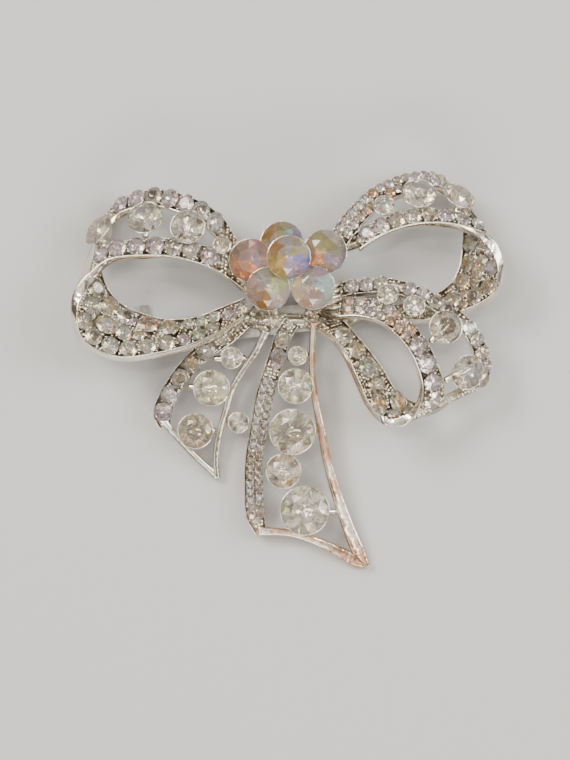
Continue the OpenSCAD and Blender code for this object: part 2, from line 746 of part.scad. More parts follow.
// Places of the main stones
function main_lift(d) = ribbon_t / 2 + d * RISE;
function loop_stone_place(loop, row, d) =
    let (strip = ["whole", loop, 0, 0, last_row, OUTER, 0], frame = strip_frame(strip, row[ALONG]))
    place_in(frame, (row[OVER] - 0.5) * frame[SPAN], main_lift(d));
function tail_stone_place(length, row, d) =
    [tail_spot(length, row) + [0, 0, main_lift(d)], [1, 0, 0], [0, 1, 0], [0, 0, 1]];
function knot_stone_place(row) =
    let (
        out = [row[KNOT_X], row[KNOT_Y], 0],
        up = unit([0, 0, 1] + (row[KNOT_TILT] == 0 ? [0, 0, 0] : unit(out) * tan(row[KNOT_TILT]))),
        x = unit(cross([0, 1, 0], up))
    )
    [
        [knot_spread * row[KNOT_X], knot_spread * row[KNOT_Y], knot_height * row[KNOT_Z]],
        x,
        cross(up, x),
        up
    ];

// Every main stone with its place and diameter, in the order of the tables
function loop_mains(loop, rows, largest) =
    [for (row = rows) let (d = largest * row[SIZE]) [loop_stone_place(loop, row, d), d]];
function tail_mains(length, rows, largest) =
    [for (row = rows) let (d = largest * row[TAIL_SIZE]) [tail_stone_place(length, row, d), d]];
main_groups = [
    ["left_loop_stone_", loop_mains(left_loop, left_loop_stones, left_loop_stone_d)],
    ["right_loop_stone_", loop_mains(right_loop, right_loop_stones, right_loop_stone_d)],
    ["lower_loop_stone_", loop_mains(lower_loop, lower_loop_stones, lower_loop_stone_d)],
    ["left_tail_stone_", tail_mains(left_tail_length, left_tail_stones, left_tail_stone_d)],
    ["right_tail_stone_", tail_mains(right_tail_length, right_tail_stones, right_tail_stone_d)]
];
main_places = concat(
    [for (row = knot_stones) [knot_stone_place(row), knot_stone_d]],
    [for (group = main_groups) each group[1]]
);

// The sub-parts that can be built one at a time

// A straight bar between two points
module bar(from, to, d) {
    hull() {
        translate(from) sphere(d = d, $fn = bar_sides);
        translate(to) sphere(d = d, $fn = bar_sides);
    }
}
// Where a bar's end meets the side of a rail, on its far side or its near side
function beside(frame, way) = frame[MIDDLE] + frame[CROSS] * way * (frame[SPAN] / 2 + bar_d / 2 - rim_w);
// Where an arm's end meets the back of a strip
function behind(strip, t) =
    let (frame = strip_frame(strip, t))
    frame[MIDDLE] - frame[OPEN] * (ribbon_t / 2 + arm_d * ARM_SINK);
// Bars cross each loop under its main stones, from rail to rail
module loop_bars(rows, near_strip, far_strip) {
    for (row = rows) {
        near = strip_frame(near_strip, row[ALONG]);
        far = strip_frame(far_strip, row[ALONG]);
        bar(beside(near, 1), beside(far, -1), bar_d);
    }
}
// A tail's bars run under its main stones and end on the near side of a rail
module tail_bars(length, rows, bars) {
    for (row = bars) {
        rail = strip_frame(row[BAR_STRIP], row[BAR_PLACE]);
        seat = tail_spot(length, rows[row[BAR_STONE]]);
        bar(seat, beside(rail, (seat - rail[MIDDLE]) * rail[CROSS] > 0 ? 1 : -1), bar_d);
    }
}
// Arms spread from the hub of the knot to its cups and to the loops' ends
module knot_arms() {
    for (row = knot_stones)
        bar(hub, cup_foot(row), arm_d);
    for (strip = [left_near_rail, left_far_rail, right_near_rail, right_far_rail])
        bar(hub, behind(strip, strip[START] + 0.15), arm_d);
    bar(bridge_point(0.1), cup_foot(knot_stones[3]), arm_d);
    bar(bridge_point(0.85), cup_foot(knot_stones[4]), arm_d);
    bar(bridge_point(0), behind(left_inner_band, last_row - 0.2), arm_d);
    bar(bridge_point(1), behind(right_inner_band, last_row - 0.2), arm_d);
    bar(bridge_point(0.72), behind(lower_inner_band, last_row - 0.2), arm_d);
    for (strip = [lower_near_rail, lower_far_rail])
        bar(bridge_point(0.95), behind(strip, 0.15), arm_d);
    for (strip = [left_tail_strip, left_side_strip])
        bar(bridge_point(0.1), behind(strip, 0.1), arm_d);
    for (strip = [right_tail_strip, right_side_strip])
        bar(bridge_point(0.5), behind(strip, 0.1), arm_d);
}
function cup_foot(row) =
    let (place = knot_stone_place(row))
    place[GIRDLE] - place[UPWARD] * knot_stone_d * PAVILION;
function bridge_point(share) = [knot_spread * mix(BRIDGE_LEFT, BRIDGE_RIGHT, share), bridge_y, bridge_z];
module bridge() {
    hull()
        for (share = [0, 1])
            translate(bridge_point(share) - [0, 0, bridge_t / 2])
                cylinder(h = bridge_t, d = bridge_w, $fn = 12);
}

// The whole soldered metal of the bow
module bow_frame() {
    color("silver")
        difference() {
            union() {
                channel(left_near_rail, 12);
                channel(left_far_rail, 13);
                channel(left_inner_band, 21);
                channel(right_near_rail, 12);
                channel(right_far_rail, 12);
                channel(right_inner_band, 15);
                channel(lower_near_rail, 14);
                channel(lower_far_rail, 14);
                channel(lower_inner_band, 20);
                channel(left_tail_strip, 10);
                channel(right_tail_strip, 13);
                plain_rail(left_side_strip, 10);
                plain_rail(left_foot_strip, 4);
                plain_rail(right_side_strip, 12);
                plain_rail(right_foot_strip, 8);
                loop_bars(left_loop_stones, left_near_rail, left_far_rail);
                loop_bars(right_loop_stones, right_near_rail, right_far_rail);
                loop_bars(lower_loop_stones, lower_near_rail, lower_far_rail);
                tail_bars(left_tail_length, left_tail_stones, left_tail_bars);
                tail_bars(right_tail_length, right_tail_stones, right_tail_bars);
                knot_arms();
                bridge();
                for (stone = main_places) cup(stone[0], stone[1]);
            }
            for (stone = main_places) main_seat(stone[0], stone[1]);
        }
}

// The hidden pin back: a bar, a hinge block, a catch with its lever, and the stem between them
module pin() {
    color("lightsteelblue")
        translate([-pin_length * PIN_SHIFT, bridge_y, 0])
            rotate([0, 0, PIN_TURN])
                translate([-pin_length / 2, -pin_w / 2, 0]) {
                    translate([0, 0, pin_height - pin_bar_t])
                        cube([pin_length, pin_w, pin_bar_t]);
                    for (x = [0, pin_length - pin_block])
                        translate([x, 0, 0])
                            cube([pin_block, pin_w, pin_height]);
                    translate([0, pin_w - e, 0])
                        cube([pin_block / 2, lever_reach + e, pin_bar_t]);
                    translate([pin_block / 2, pin_w / 2, stem_z])
                        rotate([0, 90, 0])
                            cylinder(h = pin_length - pin_block, d = stem_d, $fn = 32);
                }
}

// Single main stones
module knot_stone(row) {
    color("burlywood") main_stone(knot_stone_place(row), knot_stone_d);
}
module clear_stone(main) {
    color("white") main_stone(main[0], main[1]);
}

// Fields of small stones
module left_rail_stones() {
    color("whitesmoke") stone_field([left_near_rail, left_far_rail], [left_near_row, left_far_row]);
}
module left_inner_stones() {
    color("whitesmoke") paved_face(left_inner_band, left_inner_rows, left_inner_fill);
}
module right_rail_stones() {
    color("whitesmoke") stone_field([right_near_rail, right_far_rail], [right_near_row, right_far_rows]);
}
module right_inner_stones() {
    color("whitesmoke") paved_face(right_inner_band, right_inner_rows, right_inner_fill);
}
module lower_rail_stones() {
    color("whitesmoke") stone_field([lower_far_rail], [lower_far_row]);
}
module lower_band_stones() {
    color("whitesmoke") stone_field([lower_near_rail], [lower_near_rows]);
}
module lower_inner_stones() {
    color("whitesmoke") paved_face(lower_inner_band, lower_inner_rows, lower_inner_fill);
}
module left_tail_rail_stones() {
    color("whitesmoke") stone_field([left_tail_strip], [left_tail_row]);
}
module right_tail_rail_stones() {
    color("whitesmoke") stone_field([right_tail_strip], [right_tail_rows]);
}

translate([-centre_x, -centre_y, 0]) {
    bow_frame();
    pin();
    for (row = knot_stones)
        knot_stone(row);
    for (group = main_groups, i = [1 : len(group[1])])
        clear_stone(group[1][i - 1]);
    left_rail_stones();
    left_inner_stones();
    right_rail_stones();
    right_inner_stones();
    lower_rail_stones();
    lower_band_stones();
    lower_inner_stones();
    left_tail_rail_stones();
    right_tail_rail_stones();
}
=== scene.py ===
"""Looks of the bow brooch: finer metal, cut stones, their materials, the light and the camera.

Lengths are in millimetres until a mesh is written, where SCALE turns them into metres.
"""

import math
import random
from collections import namedtuple

import bpy
import numpy as np
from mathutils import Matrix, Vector


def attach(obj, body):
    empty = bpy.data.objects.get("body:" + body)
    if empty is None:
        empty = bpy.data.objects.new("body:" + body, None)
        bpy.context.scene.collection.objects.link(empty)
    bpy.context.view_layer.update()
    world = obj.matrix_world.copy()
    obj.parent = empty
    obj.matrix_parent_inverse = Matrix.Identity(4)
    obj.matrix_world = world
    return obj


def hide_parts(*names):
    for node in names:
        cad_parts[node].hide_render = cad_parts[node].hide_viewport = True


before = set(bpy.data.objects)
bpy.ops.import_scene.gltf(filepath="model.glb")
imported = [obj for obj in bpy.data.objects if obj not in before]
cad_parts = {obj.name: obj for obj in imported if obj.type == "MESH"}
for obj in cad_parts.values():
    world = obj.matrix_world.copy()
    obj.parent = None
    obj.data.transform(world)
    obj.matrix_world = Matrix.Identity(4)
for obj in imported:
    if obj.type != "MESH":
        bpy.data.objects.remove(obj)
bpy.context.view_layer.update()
link = bpy.context.scene.collection.objects.link
SCALE = 0.001

# Sizes of the bow, as in the part's source
LEFT_REACH, LEFT_HEIGHT, LEFT_DEPTH = 31.5, 25.0, 9.2
RIGHT_REACH, RIGHT_HEIGHT, RIGHT_DEPTH = 31.3, 21.8, 9.2
LOWER_REACH, LOWER_DROP, LOWER_DEPTH = 29.1, 24.1, 10.0
LEFT_TAIL, RIGHT_TAIL, TAIL_DEPTH = 31.3, 44.1, 6.0
LEFT_RAIL_STONE, LEFT_INNER_STONE, LEFT_NARROW_STONE = 2.5, 2.55, 1.8
RIGHT_RAIL_STONE, RIGHT_PAIR_STONE, RIGHT_INNER_STONE = 2.2, 1.3, 2.25
LOWER_RAIL_STONE, LOWER_PAIR_STONE, LOWER_BAND_STONE = 1.9, 1.3, 2.5
LOWER_INNER_STONE, LOWER_INNER_PAIR = 2.5, 2.1
LEFT_TAIL_STONE, RIGHT_TAIL_STONE, RIGHT_TAIL_PAIR = 2.3, 2.0, 1.05
LEFT_MAIN, RIGHT_MAIN, LOWER_MAIN, LEFT_TAIL_MAIN, RIGHT_TAIL_MAIN = 5.0, 4.8, 5.0, 5.0, 6.9
PLAIN_RAIL = 1.2
KNOT_STONE, KNOT_SPREAD, KNOT_HEIGHT = 6.2, 5.5, 12.4
BRIDGE_T, PIN_TOP = 2.0, 3.4
RIBBON_T, RIM, BAR_D, ARM_D = 1.4, 0.24, 1.0, 1.6
STONE_GAP, SEAT_GAP, CUP_WALL = 0.12, 0.06, 0.22
# Shares of a stone's size: its table, crown, pavilion, its cup's foot, and how far it stands up
TABLE, CROWN, PAVILION, CUP_FOOT, RISE = 0.56, 0.17, 0.36, 0.22, 0.2
# Steps along a strip: to take its direction, and to measure a row
STEP, SAMPLE = 0.02, 0.1
# Small cut stones: the slit between two of a row, how far a lone one spreads, and the lean of any
ROW_SLIT, FILL_ROOM, LEAN = 0.03, 1.1, 0.07

# Rows of the loops: near edge, then far edge, as shares of reach, height and depth
LEFT_SHAPE = np.array([
    [0.185, -0.17, 0.87, 0.22, 0.115, 0.71],
    [0.335, -0.035, 0.93, 0.305, 0.295, 0.76],
    [0.5, 0.035, 0.98, 0.43, 0.4, 0.71],
    [0.66, 0.045, 1, 0.6, 0.45, 0.44],
    [0.81, 0.025, 1, 0.755, 0.4, 0.24],
    [0.9, -0.065, 1, 0.835, 0.295, 0.12],
    [0.965, -0.165, 1, 0.87, 0.16, 0.18],
    [0.985, -0.275, 1, 0.875, 0.025, 0.35],
    [0.965, -0.405, 1, 0.85, -0.1, 0.48],
    [0.89, -0.495, 1, 0.785, -0.21, 0.5],
    [0.765, -0.545, 0.98, 0.69, -0.275, 0.48],
    [0.615, -0.525, 0.96, 0.555, -0.32, 0.5],
    [0.45, -0.475, 0.89, 0.415, -0.305, 0.52],
    [0.315, -0.4, 0.82, 0.295, -0.245, 0.54],
    [0.2, -0.31, 0.76, 0.195, -0.195, 0.54],
])
RIGHT_SHAPE = np.array([
    [0.205, -0.065, 0.87, 0.185, 0.2, 0.74],
    [0.32, 0.08, 0.93, 0.265, 0.36, 0.76],
    [0.45, 0.2, 0.98, 0.37, 0.505, 0.65],
    [0.59, 0.26, 1, 0.51, 0.6, 0.5],
    [0.725, 0.265, 1, 0.65, 0.625, 0.33],
    [0.85, 0.225, 1, 0.75, 0.555, 0.18],
    [0.935, 0.155, 1, 0.8, 0.44, 0.12],
    [0.98, 0.04, 1, 0.825, 0.305, 0.18],
    [0.985, -0.08, 0.98, 0.825, 0.175, 0.3],
    [0.965, -0.185, 0.92, 0.81, 0.025, 0.38],
    [0.89, -0.265, 0.8, 0.775, -0.095, 0.42],
    [0.805, -0.315, 0.7, 0.705, -0.18, 0.44],
    [0.705, -0.345, 0.63, 0.61, -0.24, 0.46],
    [0.59, -0.375, 0.63, 0.495, -0.265, 0.5],
    [0.285, -0.325, 0.66, 0.285, -0.26, 0.56],
])
LOWER_SHAPE = np.array([
    [0.25, -0.315, 0.75, 0.26, -0.09, 0.55],
    [0.35, -0.315, 0.85, 0.37, -0.075, 0.6],
    [0.45, -0.345, 0.93, 0.52, -0.07, 0.65],
    [0.53, -0.42, 0.98, 0.68, -0.13, 0.7],
    [0.605, -0.535, 1, 0.83, -0.235, 0.73],
    [0.65, -0.675, 1, 0.945, -0.365, 0.7],
    [0.655, -0.785, 0.98, 1, -0.52, 0.58],
    [0.615, -0.885, 0.95, 0.995, -0.675, 0.48],
    [0.545, -0.945, 0.92, 0.83, -0.78, 0.46],
    [0.465, -0.93, 0.9, 0.715, -0.87, 0.5],
    [0.39, -0.835, 0.88, 0.615, -0.825, 0.56],
    [0.34, -0.7, 0.86, 0.53, -0.755, 0.6],
    [0.285, -0.555, 0.82, 0.465, -0.625, 0.6],
    [0.225, -0.45, 0.76, 0.37, -0.475, 0.58],
    [0.15, -0.385, 0.68, 0.27, -0.325, 0.55],
])
# Rows of the tails: across, down, height and width
LEFT_TAIL_RAIL = np.array([
    [-0.2, 0.255, 0.95, 0.95],
    [-0.28, 0.325, 0.9, 1],
    [-0.385, 0.395, 0.8, 1],
    [-0.48, 0.495, 0.7, 1],
    [-0.55, 0.6, 0.6, 1],
    [-0.58, 0.685, 0.5, 1],
    [-0.565, 0.745, 0.42, 0.7],
])
LEFT_TAIL_SIDE = np.array([
    [-0.1, 0.3, 0.9, 1],
    [-0.15, 0.4, 0.8, 0.9],
    [-0.21, 0.485, 0.7, 0.9],
    [-0.26, 0.575, 0.6, 0.9],
    [-0.29, 0.675, 0.5, 0.9],
    [-0.32, 0.78, 0.4, 0.9],
    [-0.335, 0.88, 0.27, 0.9],
    [-0.33, 0.98, 0.13, 0.9],
])
LEFT_TAIL_FOOT = np.array([
    [-0.585, 0.715, 0.44, 1],
    [-0.465, 0.85, 0.27, 0.8],
    [-0.33, 0.98, 0.13, 0.9],
])
RIGHT_TAIL_RAIL = np.array([
    [0.015, 0.185, 0.95, 0.9],
    [-0.015, 0.235, 0.9, 0.94],
    [-0.03, 0.285, 0.85, 0.94],
    [-0.045, 0.33, 0.8, 0.96],
    [-0.065, 0.395, 0.75, 1],
    [-0.08, 0.455, 0.7, 1],
    [-0.095, 0.545, 0.62, 1],
    [-0.11, 0.645, 0.54, 1],
    [-0.11, 0.735, 0.46, 1.05],
    [-0.105, 0.82, 0.4, 1.05],
    [-0.085, 0.88, 0.35, 0.7],
])
RIGHT_TAIL_SIDE = np.array([
    [0.085, 0.185, 0.9, 0.9],
    [0.08, 0.275, 0.85, 0.8],
    [0.08, 0.355, 0.8, 0.85],
    [0.09, 0.44, 0.72, 0.9],
    [0.11, 0.54, 0.64, 1],
    [0.13, 0.645, 0.54, 1.15],
    [0.16, 0.75, 0.42, 1.3],
    [0.195, 0.85, 0.3, 1.5],
    [0.228, 0.93, 0.2, 1.6],
    [0.26, 0.985, 0.13, 0.8],
])
RIGHT_TAIL_FOOT = np.array([
    [-0.1, 0.872, 0.36, 1.1],
    [0.005, 0.88, 0.3, 0.9],
    [0.09, 0.905, 0.25, 1],
    [0.165, 0.94, 0.19, 1.3],
    [0.21, 0.965, 0.15, 1.4],
    [0.257, 0.988, 0.13, 0.8],
])

Loop = namedtuple("Loop", "side reach height depth shape")
LEFT = Loop(-1, LEFT_REACH, LEFT_HEIGHT, LEFT_DEPTH, LEFT_SHAPE)
RIGHT = Loop(1, RIGHT_REACH, RIGHT_HEIGHT, RIGHT_DEPTH, RIGHT_SHAPE)
LOWER = Loop(1, LOWER_REACH, LOWER_DROP, LOWER_DEPTH, LOWER_SHAPE)
# A strip runs from start to end along a loop or tail. Its face is 1 in front and -1 on an inner face
Strip = namedtuple("Strip", "edge course width start end face stone length", defaults=(0,))
LAST = 14


def rail_width(stone, lanes):
    return lanes * stone + (lanes + 1) * STONE_GAP + 2 * RIM


left_near = Strip("near", LEFT, rail_width(LEFT_RAIL_STONE, 1), 0, 5.1, 1, LEFT_RAIL_STONE)
left_far = Strip("far", LEFT, rail_width(LEFT_RAIL_STONE, 1), 0, 5.1, 1, LEFT_RAIL_STONE)
left_inner = Strip("whole", LEFT, 0, 4.95, LAST, -1, LEFT_INNER_STONE)
right_near = Strip("near", RIGHT, rail_width(RIGHT_RAIL_STONE, 1), 1.1, 5.9, 1, RIGHT_RAIL_STONE)
right_far = Strip("far", RIGHT, rail_width(RIGHT_PAIR_STONE, 2), 0, 5.9, 1, RIGHT_PAIR_STONE)
right_inner = Strip("whole", RIGHT, 0, 5.75, LAST, -1, RIGHT_INNER_STONE)
lower_near = Strip("near", LOWER, rail_width(LOWER_PAIR_STONE, 2), 0, 7.6, 1, LOWER_BAND_STONE)
lower_far = Strip("far", LOWER, rail_width(LOWER_RAIL_STONE, 1), 0, 7.6, 1, LOWER_RAIL_STONE)
lower_inner = Strip("whole", LOWER, 0, 7.45, LAST, -1, LOWER_INNER_STONE)
left_tail = Strip("tail", LEFT_TAIL_RAIL, rail_width(LEFT_TAIL_STONE, 1), 0, 6, 1, LEFT_TAIL_STONE,
                  LEFT_TAIL)
right_tail = Strip("tail", RIGHT_TAIL_RAIL, rail_width(RIGHT_TAIL_PAIR, 2), 0, 10, 1, RIGHT_TAIL_STONE,
                   RIGHT_TAIL)
left_side = Strip("tail", LEFT_TAIL_SIDE, PLAIN_RAIL, 0, 7, 1, 0, LEFT_TAIL)
left_foot = Strip("tail", LEFT_TAIL_FOOT, PLAIN_RAIL, 0, 2, 1, 0, LEFT_TAIL)
right_side = Strip("tail", RIGHT_TAIL_SIDE, PLAIN_RAIL, 0, 9, 1, 0, RIGHT_TAIL)
right_foot = Strip("tail", RIGHT_TAIL_FOOT, PLAIN_RAIL, 0, 5, 1, 0, RIGHT_TAIL)

# Rows of small stones: first and last place along the strip, lane from -1 to 1, diameter
left_near_row = [(0.45, 4.85, 0, LEFT_RAIL_STONE)]
left_far_row = [(0.6, 4.3, 0, LEFT_RAIL_STONE)]
left_inner_rows = [
    (7.5, 11.5, -1, LEFT_INNER_STONE),
    (7.3, 9.5, 0, LEFT_INNER_STONE),
    (7, 11.5, 1, LEFT_INNER_STONE),
    (11.55, 13, -1, LEFT_NARROW_STONE),
    (11.55, 13, 1, LEFT_NARROW_STONE),
    (13.05, 13.7, 0, LEFT_NARROW_STONE),
]
right_near_row = [(1.25, 5.8, 0, RIGHT_RAIL_STONE)]
right_far_rows = [(0.5, 4.6, -1, RIGHT_PAIR_STONE), (0.5, 4.6, 1, RIGHT_PAIR_STONE)]
right_inner_rows = [
    (7.3, 10.3, -1, RIGHT_INNER_STONE),
    (7.75, 9.15, 0, RIGHT_INNER_STONE),
    (7.3, 10.3, 1, RIGHT_INNER_STONE),
    (10.4, 12.2, 0, RIGHT_INNER_STONE),
]
lower_near_rows = [
    (0.3, 3.6, -1, LOWER_PAIR_STONE),
    (0.3, 3.6, 1, LOWER_PAIR_STONE),
    (3.7, 7.1, 0, LOWER_BAND_STONE),
]
lower_far_row = [(0.3, 7, 0, LOWER_RAIL_STONE)]
lower_inner_rows = [
    (9.35, 10.5, -1, LOWER_INNER_PAIR),
    (9.35, 10.5, 1, LOWER_INNER_PAIR),
    (10.6, 13.7, 0, LOWER_INNER_STONE),
]
left_tail_row = [(0.85, 5.4, 0, LEFT_TAIL_STONE)]
right_tail_rows = [
    (0.5, 3, 0, RIGHT_TAIL_STONE),
    (3.6, 9.25, -1, RIGHT_TAIL_PAIR),
    (3.6, 9.25, 1, RIGHT_TAIL_PAIR),
]
# Single stones of an inner face: place along, place across and share of the face's stones
left_inner_fill = [(6.9, -1, 0.6), (9.75, 0, 0.9), (10.3, 0, 0.6), (13.9, 0, 0.65)]
right_inner_fill = [(6.85, -1, 0.9), (7.5, 0, 0.8), (9.3, 0, 0.75), (10.15, 0, 0.5), (10.6, -1, 0.55)]
lower_inner_fill = [(9.1, -0.8, 0.75), (9.2, 1, 0.75)]

# Main stones of the loops: along, over and share of the largest
left_mains = [(4.6, 0.54, 0.98), (3.1, 0.5, 1), (1.96, 0.48, 0.94), (0.93, 0.48, 0.46)]
right_mains = [(4.7, 0.5, 1), (3.36, 0.49, 1), (2.27, 0.5, 0.58)]
lower_mains = [(2.05, 0.57, 0.56), (3.05, 0.58, 0.58), (4.25, 0.63, 0.92), (6.03, 0.61, 0.98)]
# Main stones of the tails: across, down, height and share of the largest
left_tail_mains = [(-0.262, 0.425, 0.75, 0.58), (-0.355, 0.565, 0.62, 1), (-0.43, 0.765, 0.42, 0.98),
                   (-0.23, 0.725, 0.5, 0.56)]
right_tail_mains = [(0.032, 0.295, 0.82, 0.36), (0.025, 0.395, 0.75, 0.7), (0.015, 0.545, 0.63, 0.93),
                    (-0.015, 0.675, 0.52, 0.7), (0.055, 0.805, 0.4, 1)]
# Bars of the tails: stone, rail and place along it
left_tail_bars = [(0, left_tail, 1.9), (0, left_side, 1.5), (1, left_tail, 3.3), (1, left_side, 2.9),
                  (2, left_foot, 0.7), (2, left_side, 4.9), (3, left_side, 4.5), (3, right_tail, 5.8)]
right_tail_bars = [(0, right_tail, 2.2), (0, right_side, 1.2), (1, right_tail, 4), (1, right_side, 2.5),
                   (2, right_tail, 6), (2, right_side, 4), (3, right_tail, 7.3), (4, right_foot, 1.6),
                   (4, right_side, 6.5)]
# The knot's stones: name, across, up, height and tilt
knot_stones = [
    ("knot_stone_top", -0.16, 0.6, 0.66, 8),
    ("knot_stone_left", -0.985, 0.14, 0.76, 8),
    ("knot_stone_right", 0.98, 0.37, 0.8, 8),
    ("knot_stone_low_left", -0.52, -0.615, 0.87, 4),
    ("knot_stone_low_right", 0.66, -0.58, 0.87, 4),
    ("knot_stone_centre", 0.02, 0.21, 1, 0),
]

# The middle of the solids' box, the bridge under the knot, and the point where the knot's arms meet
centre = np.array([
    (RIGHT_REACH - LEFT_REACH) / 2,
    (RIGHT_HEIGHT * RIGHT_SHAPE[:, 4].max() + RIBBON_T / 2 - RIGHT_TAIL) / 2,
    0,
])
bridge_start, bridge_span = -1.02, 2.58
bridge_y, bridge_z = -KNOT_SPREAD * 1.45, PIN_TOP + BRIDGE_T / 2
hub = np.array([0, 0, KNOT_HEIGHT * 0.47])


# The shapes' functions, as in the part's source
def unit(v):
    return v / np.linalg.norm(v)


def between(rows, t):
    """The row at place t: a smooth curve through the table's rows."""
    i = int(min(max(math.floor(t), 0), len(rows) - 2))
    s = t - i
    b, c = rows[i], rows[i + 1]
    a = rows[i - 1] if i > 0 else 2 * b - c
    d = rows[i + 2] if i + 2 < len(rows) else 2 * c - b
    return b + 0.5 * s * ((c - a) + s * ((2 * a - 5 * b + 4 * c - d) + s * (3 * (b - c) + d - a)))


def loop_spot(loop, x, y, z):
    return np.array([loop.side * loop.reach * x, loop.height * y, loop.depth * z])


def near_edge(loop, t):
    return loop_spot(loop, *between(loop.shape, t)[:3])


def far_edge(loop, t):
    return loop_spot(loop, *between(loop.shape, t)[3:])


def tail_spot(length, row):
    return np.array([length * row[0], -length * row[1], TAIL_DEPTH * row[2]])


def slant(strip, t, side):
    """How square an edge of the loop stands to the line across it: 1 where it is square."""
    loop = strip.course
    near = near_edge(loop, t + STEP) - near_edge(loop, t - STEP)
    far = far_edge(loop, t + STEP) - far_edge(loop, t - STEP)
    edge = near + far
    if strip.edge == "near" or (strip.edge == "whole" and side < 0):
        edge = near
    if strip.edge == "far" or (strip.edge == "whole" and side > 0):
        edge = far
    return np.linalg.norm(np.cross(unit(far_edge(loop, t) - near_edge(loop, t)), unit(edge)))


def strip_width(strip, t):
    if strip.edge == "tail":
        return strip.width * between(strip.course, t)[3]
    if strip.edge == "whole":
        return np.linalg.norm(far_edge(strip.course, t) - near_edge(strip.course, t))
    return strip.width / slant(strip, t, 0)


def strip_middle(strip, t):
    if strip.edge == "tail":
        return tail_spot(strip.length, between(strip.course, t))
    near, far = near_edge(strip.course, t), far_edge(strip.course, t)
    if strip.edge == "near":
        return near + unit(far - near) * strip_width(strip, t) / 2
    if strip.edge == "far":
        return far - unit(far - near) * strip_width(strip, t) / 2
    return (near + far) / 2


Frame = namedtuple("Frame", "middle cross open span")
Place = namedtuple("Place", "girdle x y up")


def strip_frame(strip, t):
    """Middle, direction across, direction out of the face, and width of a strip at place t."""
    along = unit(strip_middle(strip, t + STEP) - strip_middle(strip, t - STEP))
    if strip.edge == "tail":
        across = unit(np.cross([0, 0, 1], along))
        out = np.cross(along, across)
    else:
        across = unit(far_edge(strip.course, t) - near_edge(strip.course, t))
        out = np.cross(across, along) * -strip.course.side
    return Frame(strip_middle(strip, t), across, unit(out) * strip.face, strip_width(strip, t))


def place_in(at, across, lift):
    girdle = at.middle + at.cross * across + at.open * lift
    return Place(girdle, at.cross, np.cross(at.open, at.cross), at.open)


def row_place(strip, lane, d, t):
    at = strip_frame(strip, t)
    rim = RIM + STONE_GAP + d / 2
    free = at.span / 2 - rim / (1 if strip.edge == "tail" else slant(strip, t, lane))
    return place_in(at, lane * free, RIBBON_T / 2)


def row_stones(strip, row):
    """The stones of a row, evenly spaced: place, size and how far each spreads along the row."""
    first, last, lane, d = row
    steps = round((last - first) / SAMPLE)
    ts = [first + i * SAMPLE for i in range(steps + 1)]
    points = [row_place(strip, lane, d, t).girdle for t in ts]
    run = np.concatenate([[0], np.cumsum([np.linalg.norm(b - a) for a, b in zip(points, points[1:])])])
    count = int(run[-1] / (d + STONE_GAP))
    spots = [np.interp((i + 0.5) * run[-1] / count, run, ts) for i in range(count)]
    places = [row_place(strip, lane, d, t) for t in spots]
    room = (run[-1] / count - ROW_SLIT) / d
    return [(place, d, room) for place in places if clear_of_cups(place, d)]


def fill_stones(strip, rows, fill):
    """The single stones of a face that fit between its rows and clear of the cups."""
    taken = [stone for row in rows for stone in row_stones(strip, row)]
    found = []
    for spot, lane, share in fill:
        d = strip.stone * share
        place = row_place(strip, lane, d, spot)
        free = all(np.linalg.norm(p.girdle - place.girdle) >= (d + size) / 2 + STONE_GAP
                   for p, size, _ in taken)
        if free and clear_of_cups(place, d):
            found.append((place, d, FILL_ROOM))
    return found


def cup_depth(d):
    return d * PAVILION + CUP_WALL


def apart(point, r, place, d):
    """Whether a ball round a point keeps clear of the cup of a main stone."""
    reach = place.girdle - point
    below = reach @ place.up
    aside = np.linalg.norm(reach - place.up * below)
    share = max(0, below / cup_depth(d))
    cup_radius = (d / 2 + CUP_WALL) * (1 - share) + d * CUP_FOOT * share
    return below > cup_depth(d) + r or aside > cup_radius + r + STONE_GAP


def clear_of_cups(place, d):
    table = place.girdle + place.up * d * CROWN
    return all(apart(place.girdle, d / 2, *main) and apart(table, d / 2 * TABLE, *main)
               for main in mains.values())


def loop_main(loop, row, d):
    along, over, _ = row
    at = strip_frame(Strip("whole", loop, 0, 0, LAST, 1, 0), along)
    return place_in(at, (over - 0.5) * at.span, RIBBON_T / 2 + d * RISE)


def tail_main(length, row, d):
    x, y, up = np.eye(3)
    return Place(tail_spot(length, row) + up * (RIBBON_T / 2 + d * RISE), x, y, up)


def knot_place(across, ahead, height, tilt):
    out = unit(np.array([across, ahead, 0.0]))
    up = unit(np.array([0, 0, 1.0]) + out * math.tan(math.radians(tilt)))
    x = unit(np.cross([0, 1, 0], up))
    girdle = np.array([KNOT_SPREAD * across, KNOT_SPREAD * ahead, KNOT_HEIGHT * height])
    return Place(girdle, x, np.cross(up, x), up)


# Each main stone's place and size, by name
mains = {name: (knot_place(*spot), KNOT_STONE) for name, *spot in knot_stones}
for name, place_of, course, rows, largest in (
        ("left_loop", loop_main, LEFT, left_mains, LEFT_MAIN),
        ("right_loop", loop_main, RIGHT, right_mains, RIGHT_MAIN),
        ("lower_loop", loop_main, LOWER, lower_mains, LOWER_MAIN),
        ("left_tail", tail_main, LEFT_TAIL, left_tail_mains, LEFT_TAIL_MAIN),
        ("right_tail", tail_main, RIGHT_TAIL, right_tail_mains, RIGHT_TAIL_MAIN)):
    for i, row in enumerate(rows, 1):
        d = largest * row[-1]
        mains[f"{name}_stone_{i}"] = (place_of(course, row, d), d)


# Materials. The scales of their noise are for a part in metres, so 260 makes patches of about 4 mm
PATCH_SCALE, CLOUD_SCALE, RIPPLE_DEPTH = 260, 650, 0.00006
GLASS_IOR = 1.56
WHITE = (1, 1, 1, 1)


def new_material(name):
    material = bpy.data.materials.new(name)
    material.use_nodes = True
    return material, material.node_tree, material.node_tree.nodes["Principled BSDF"]


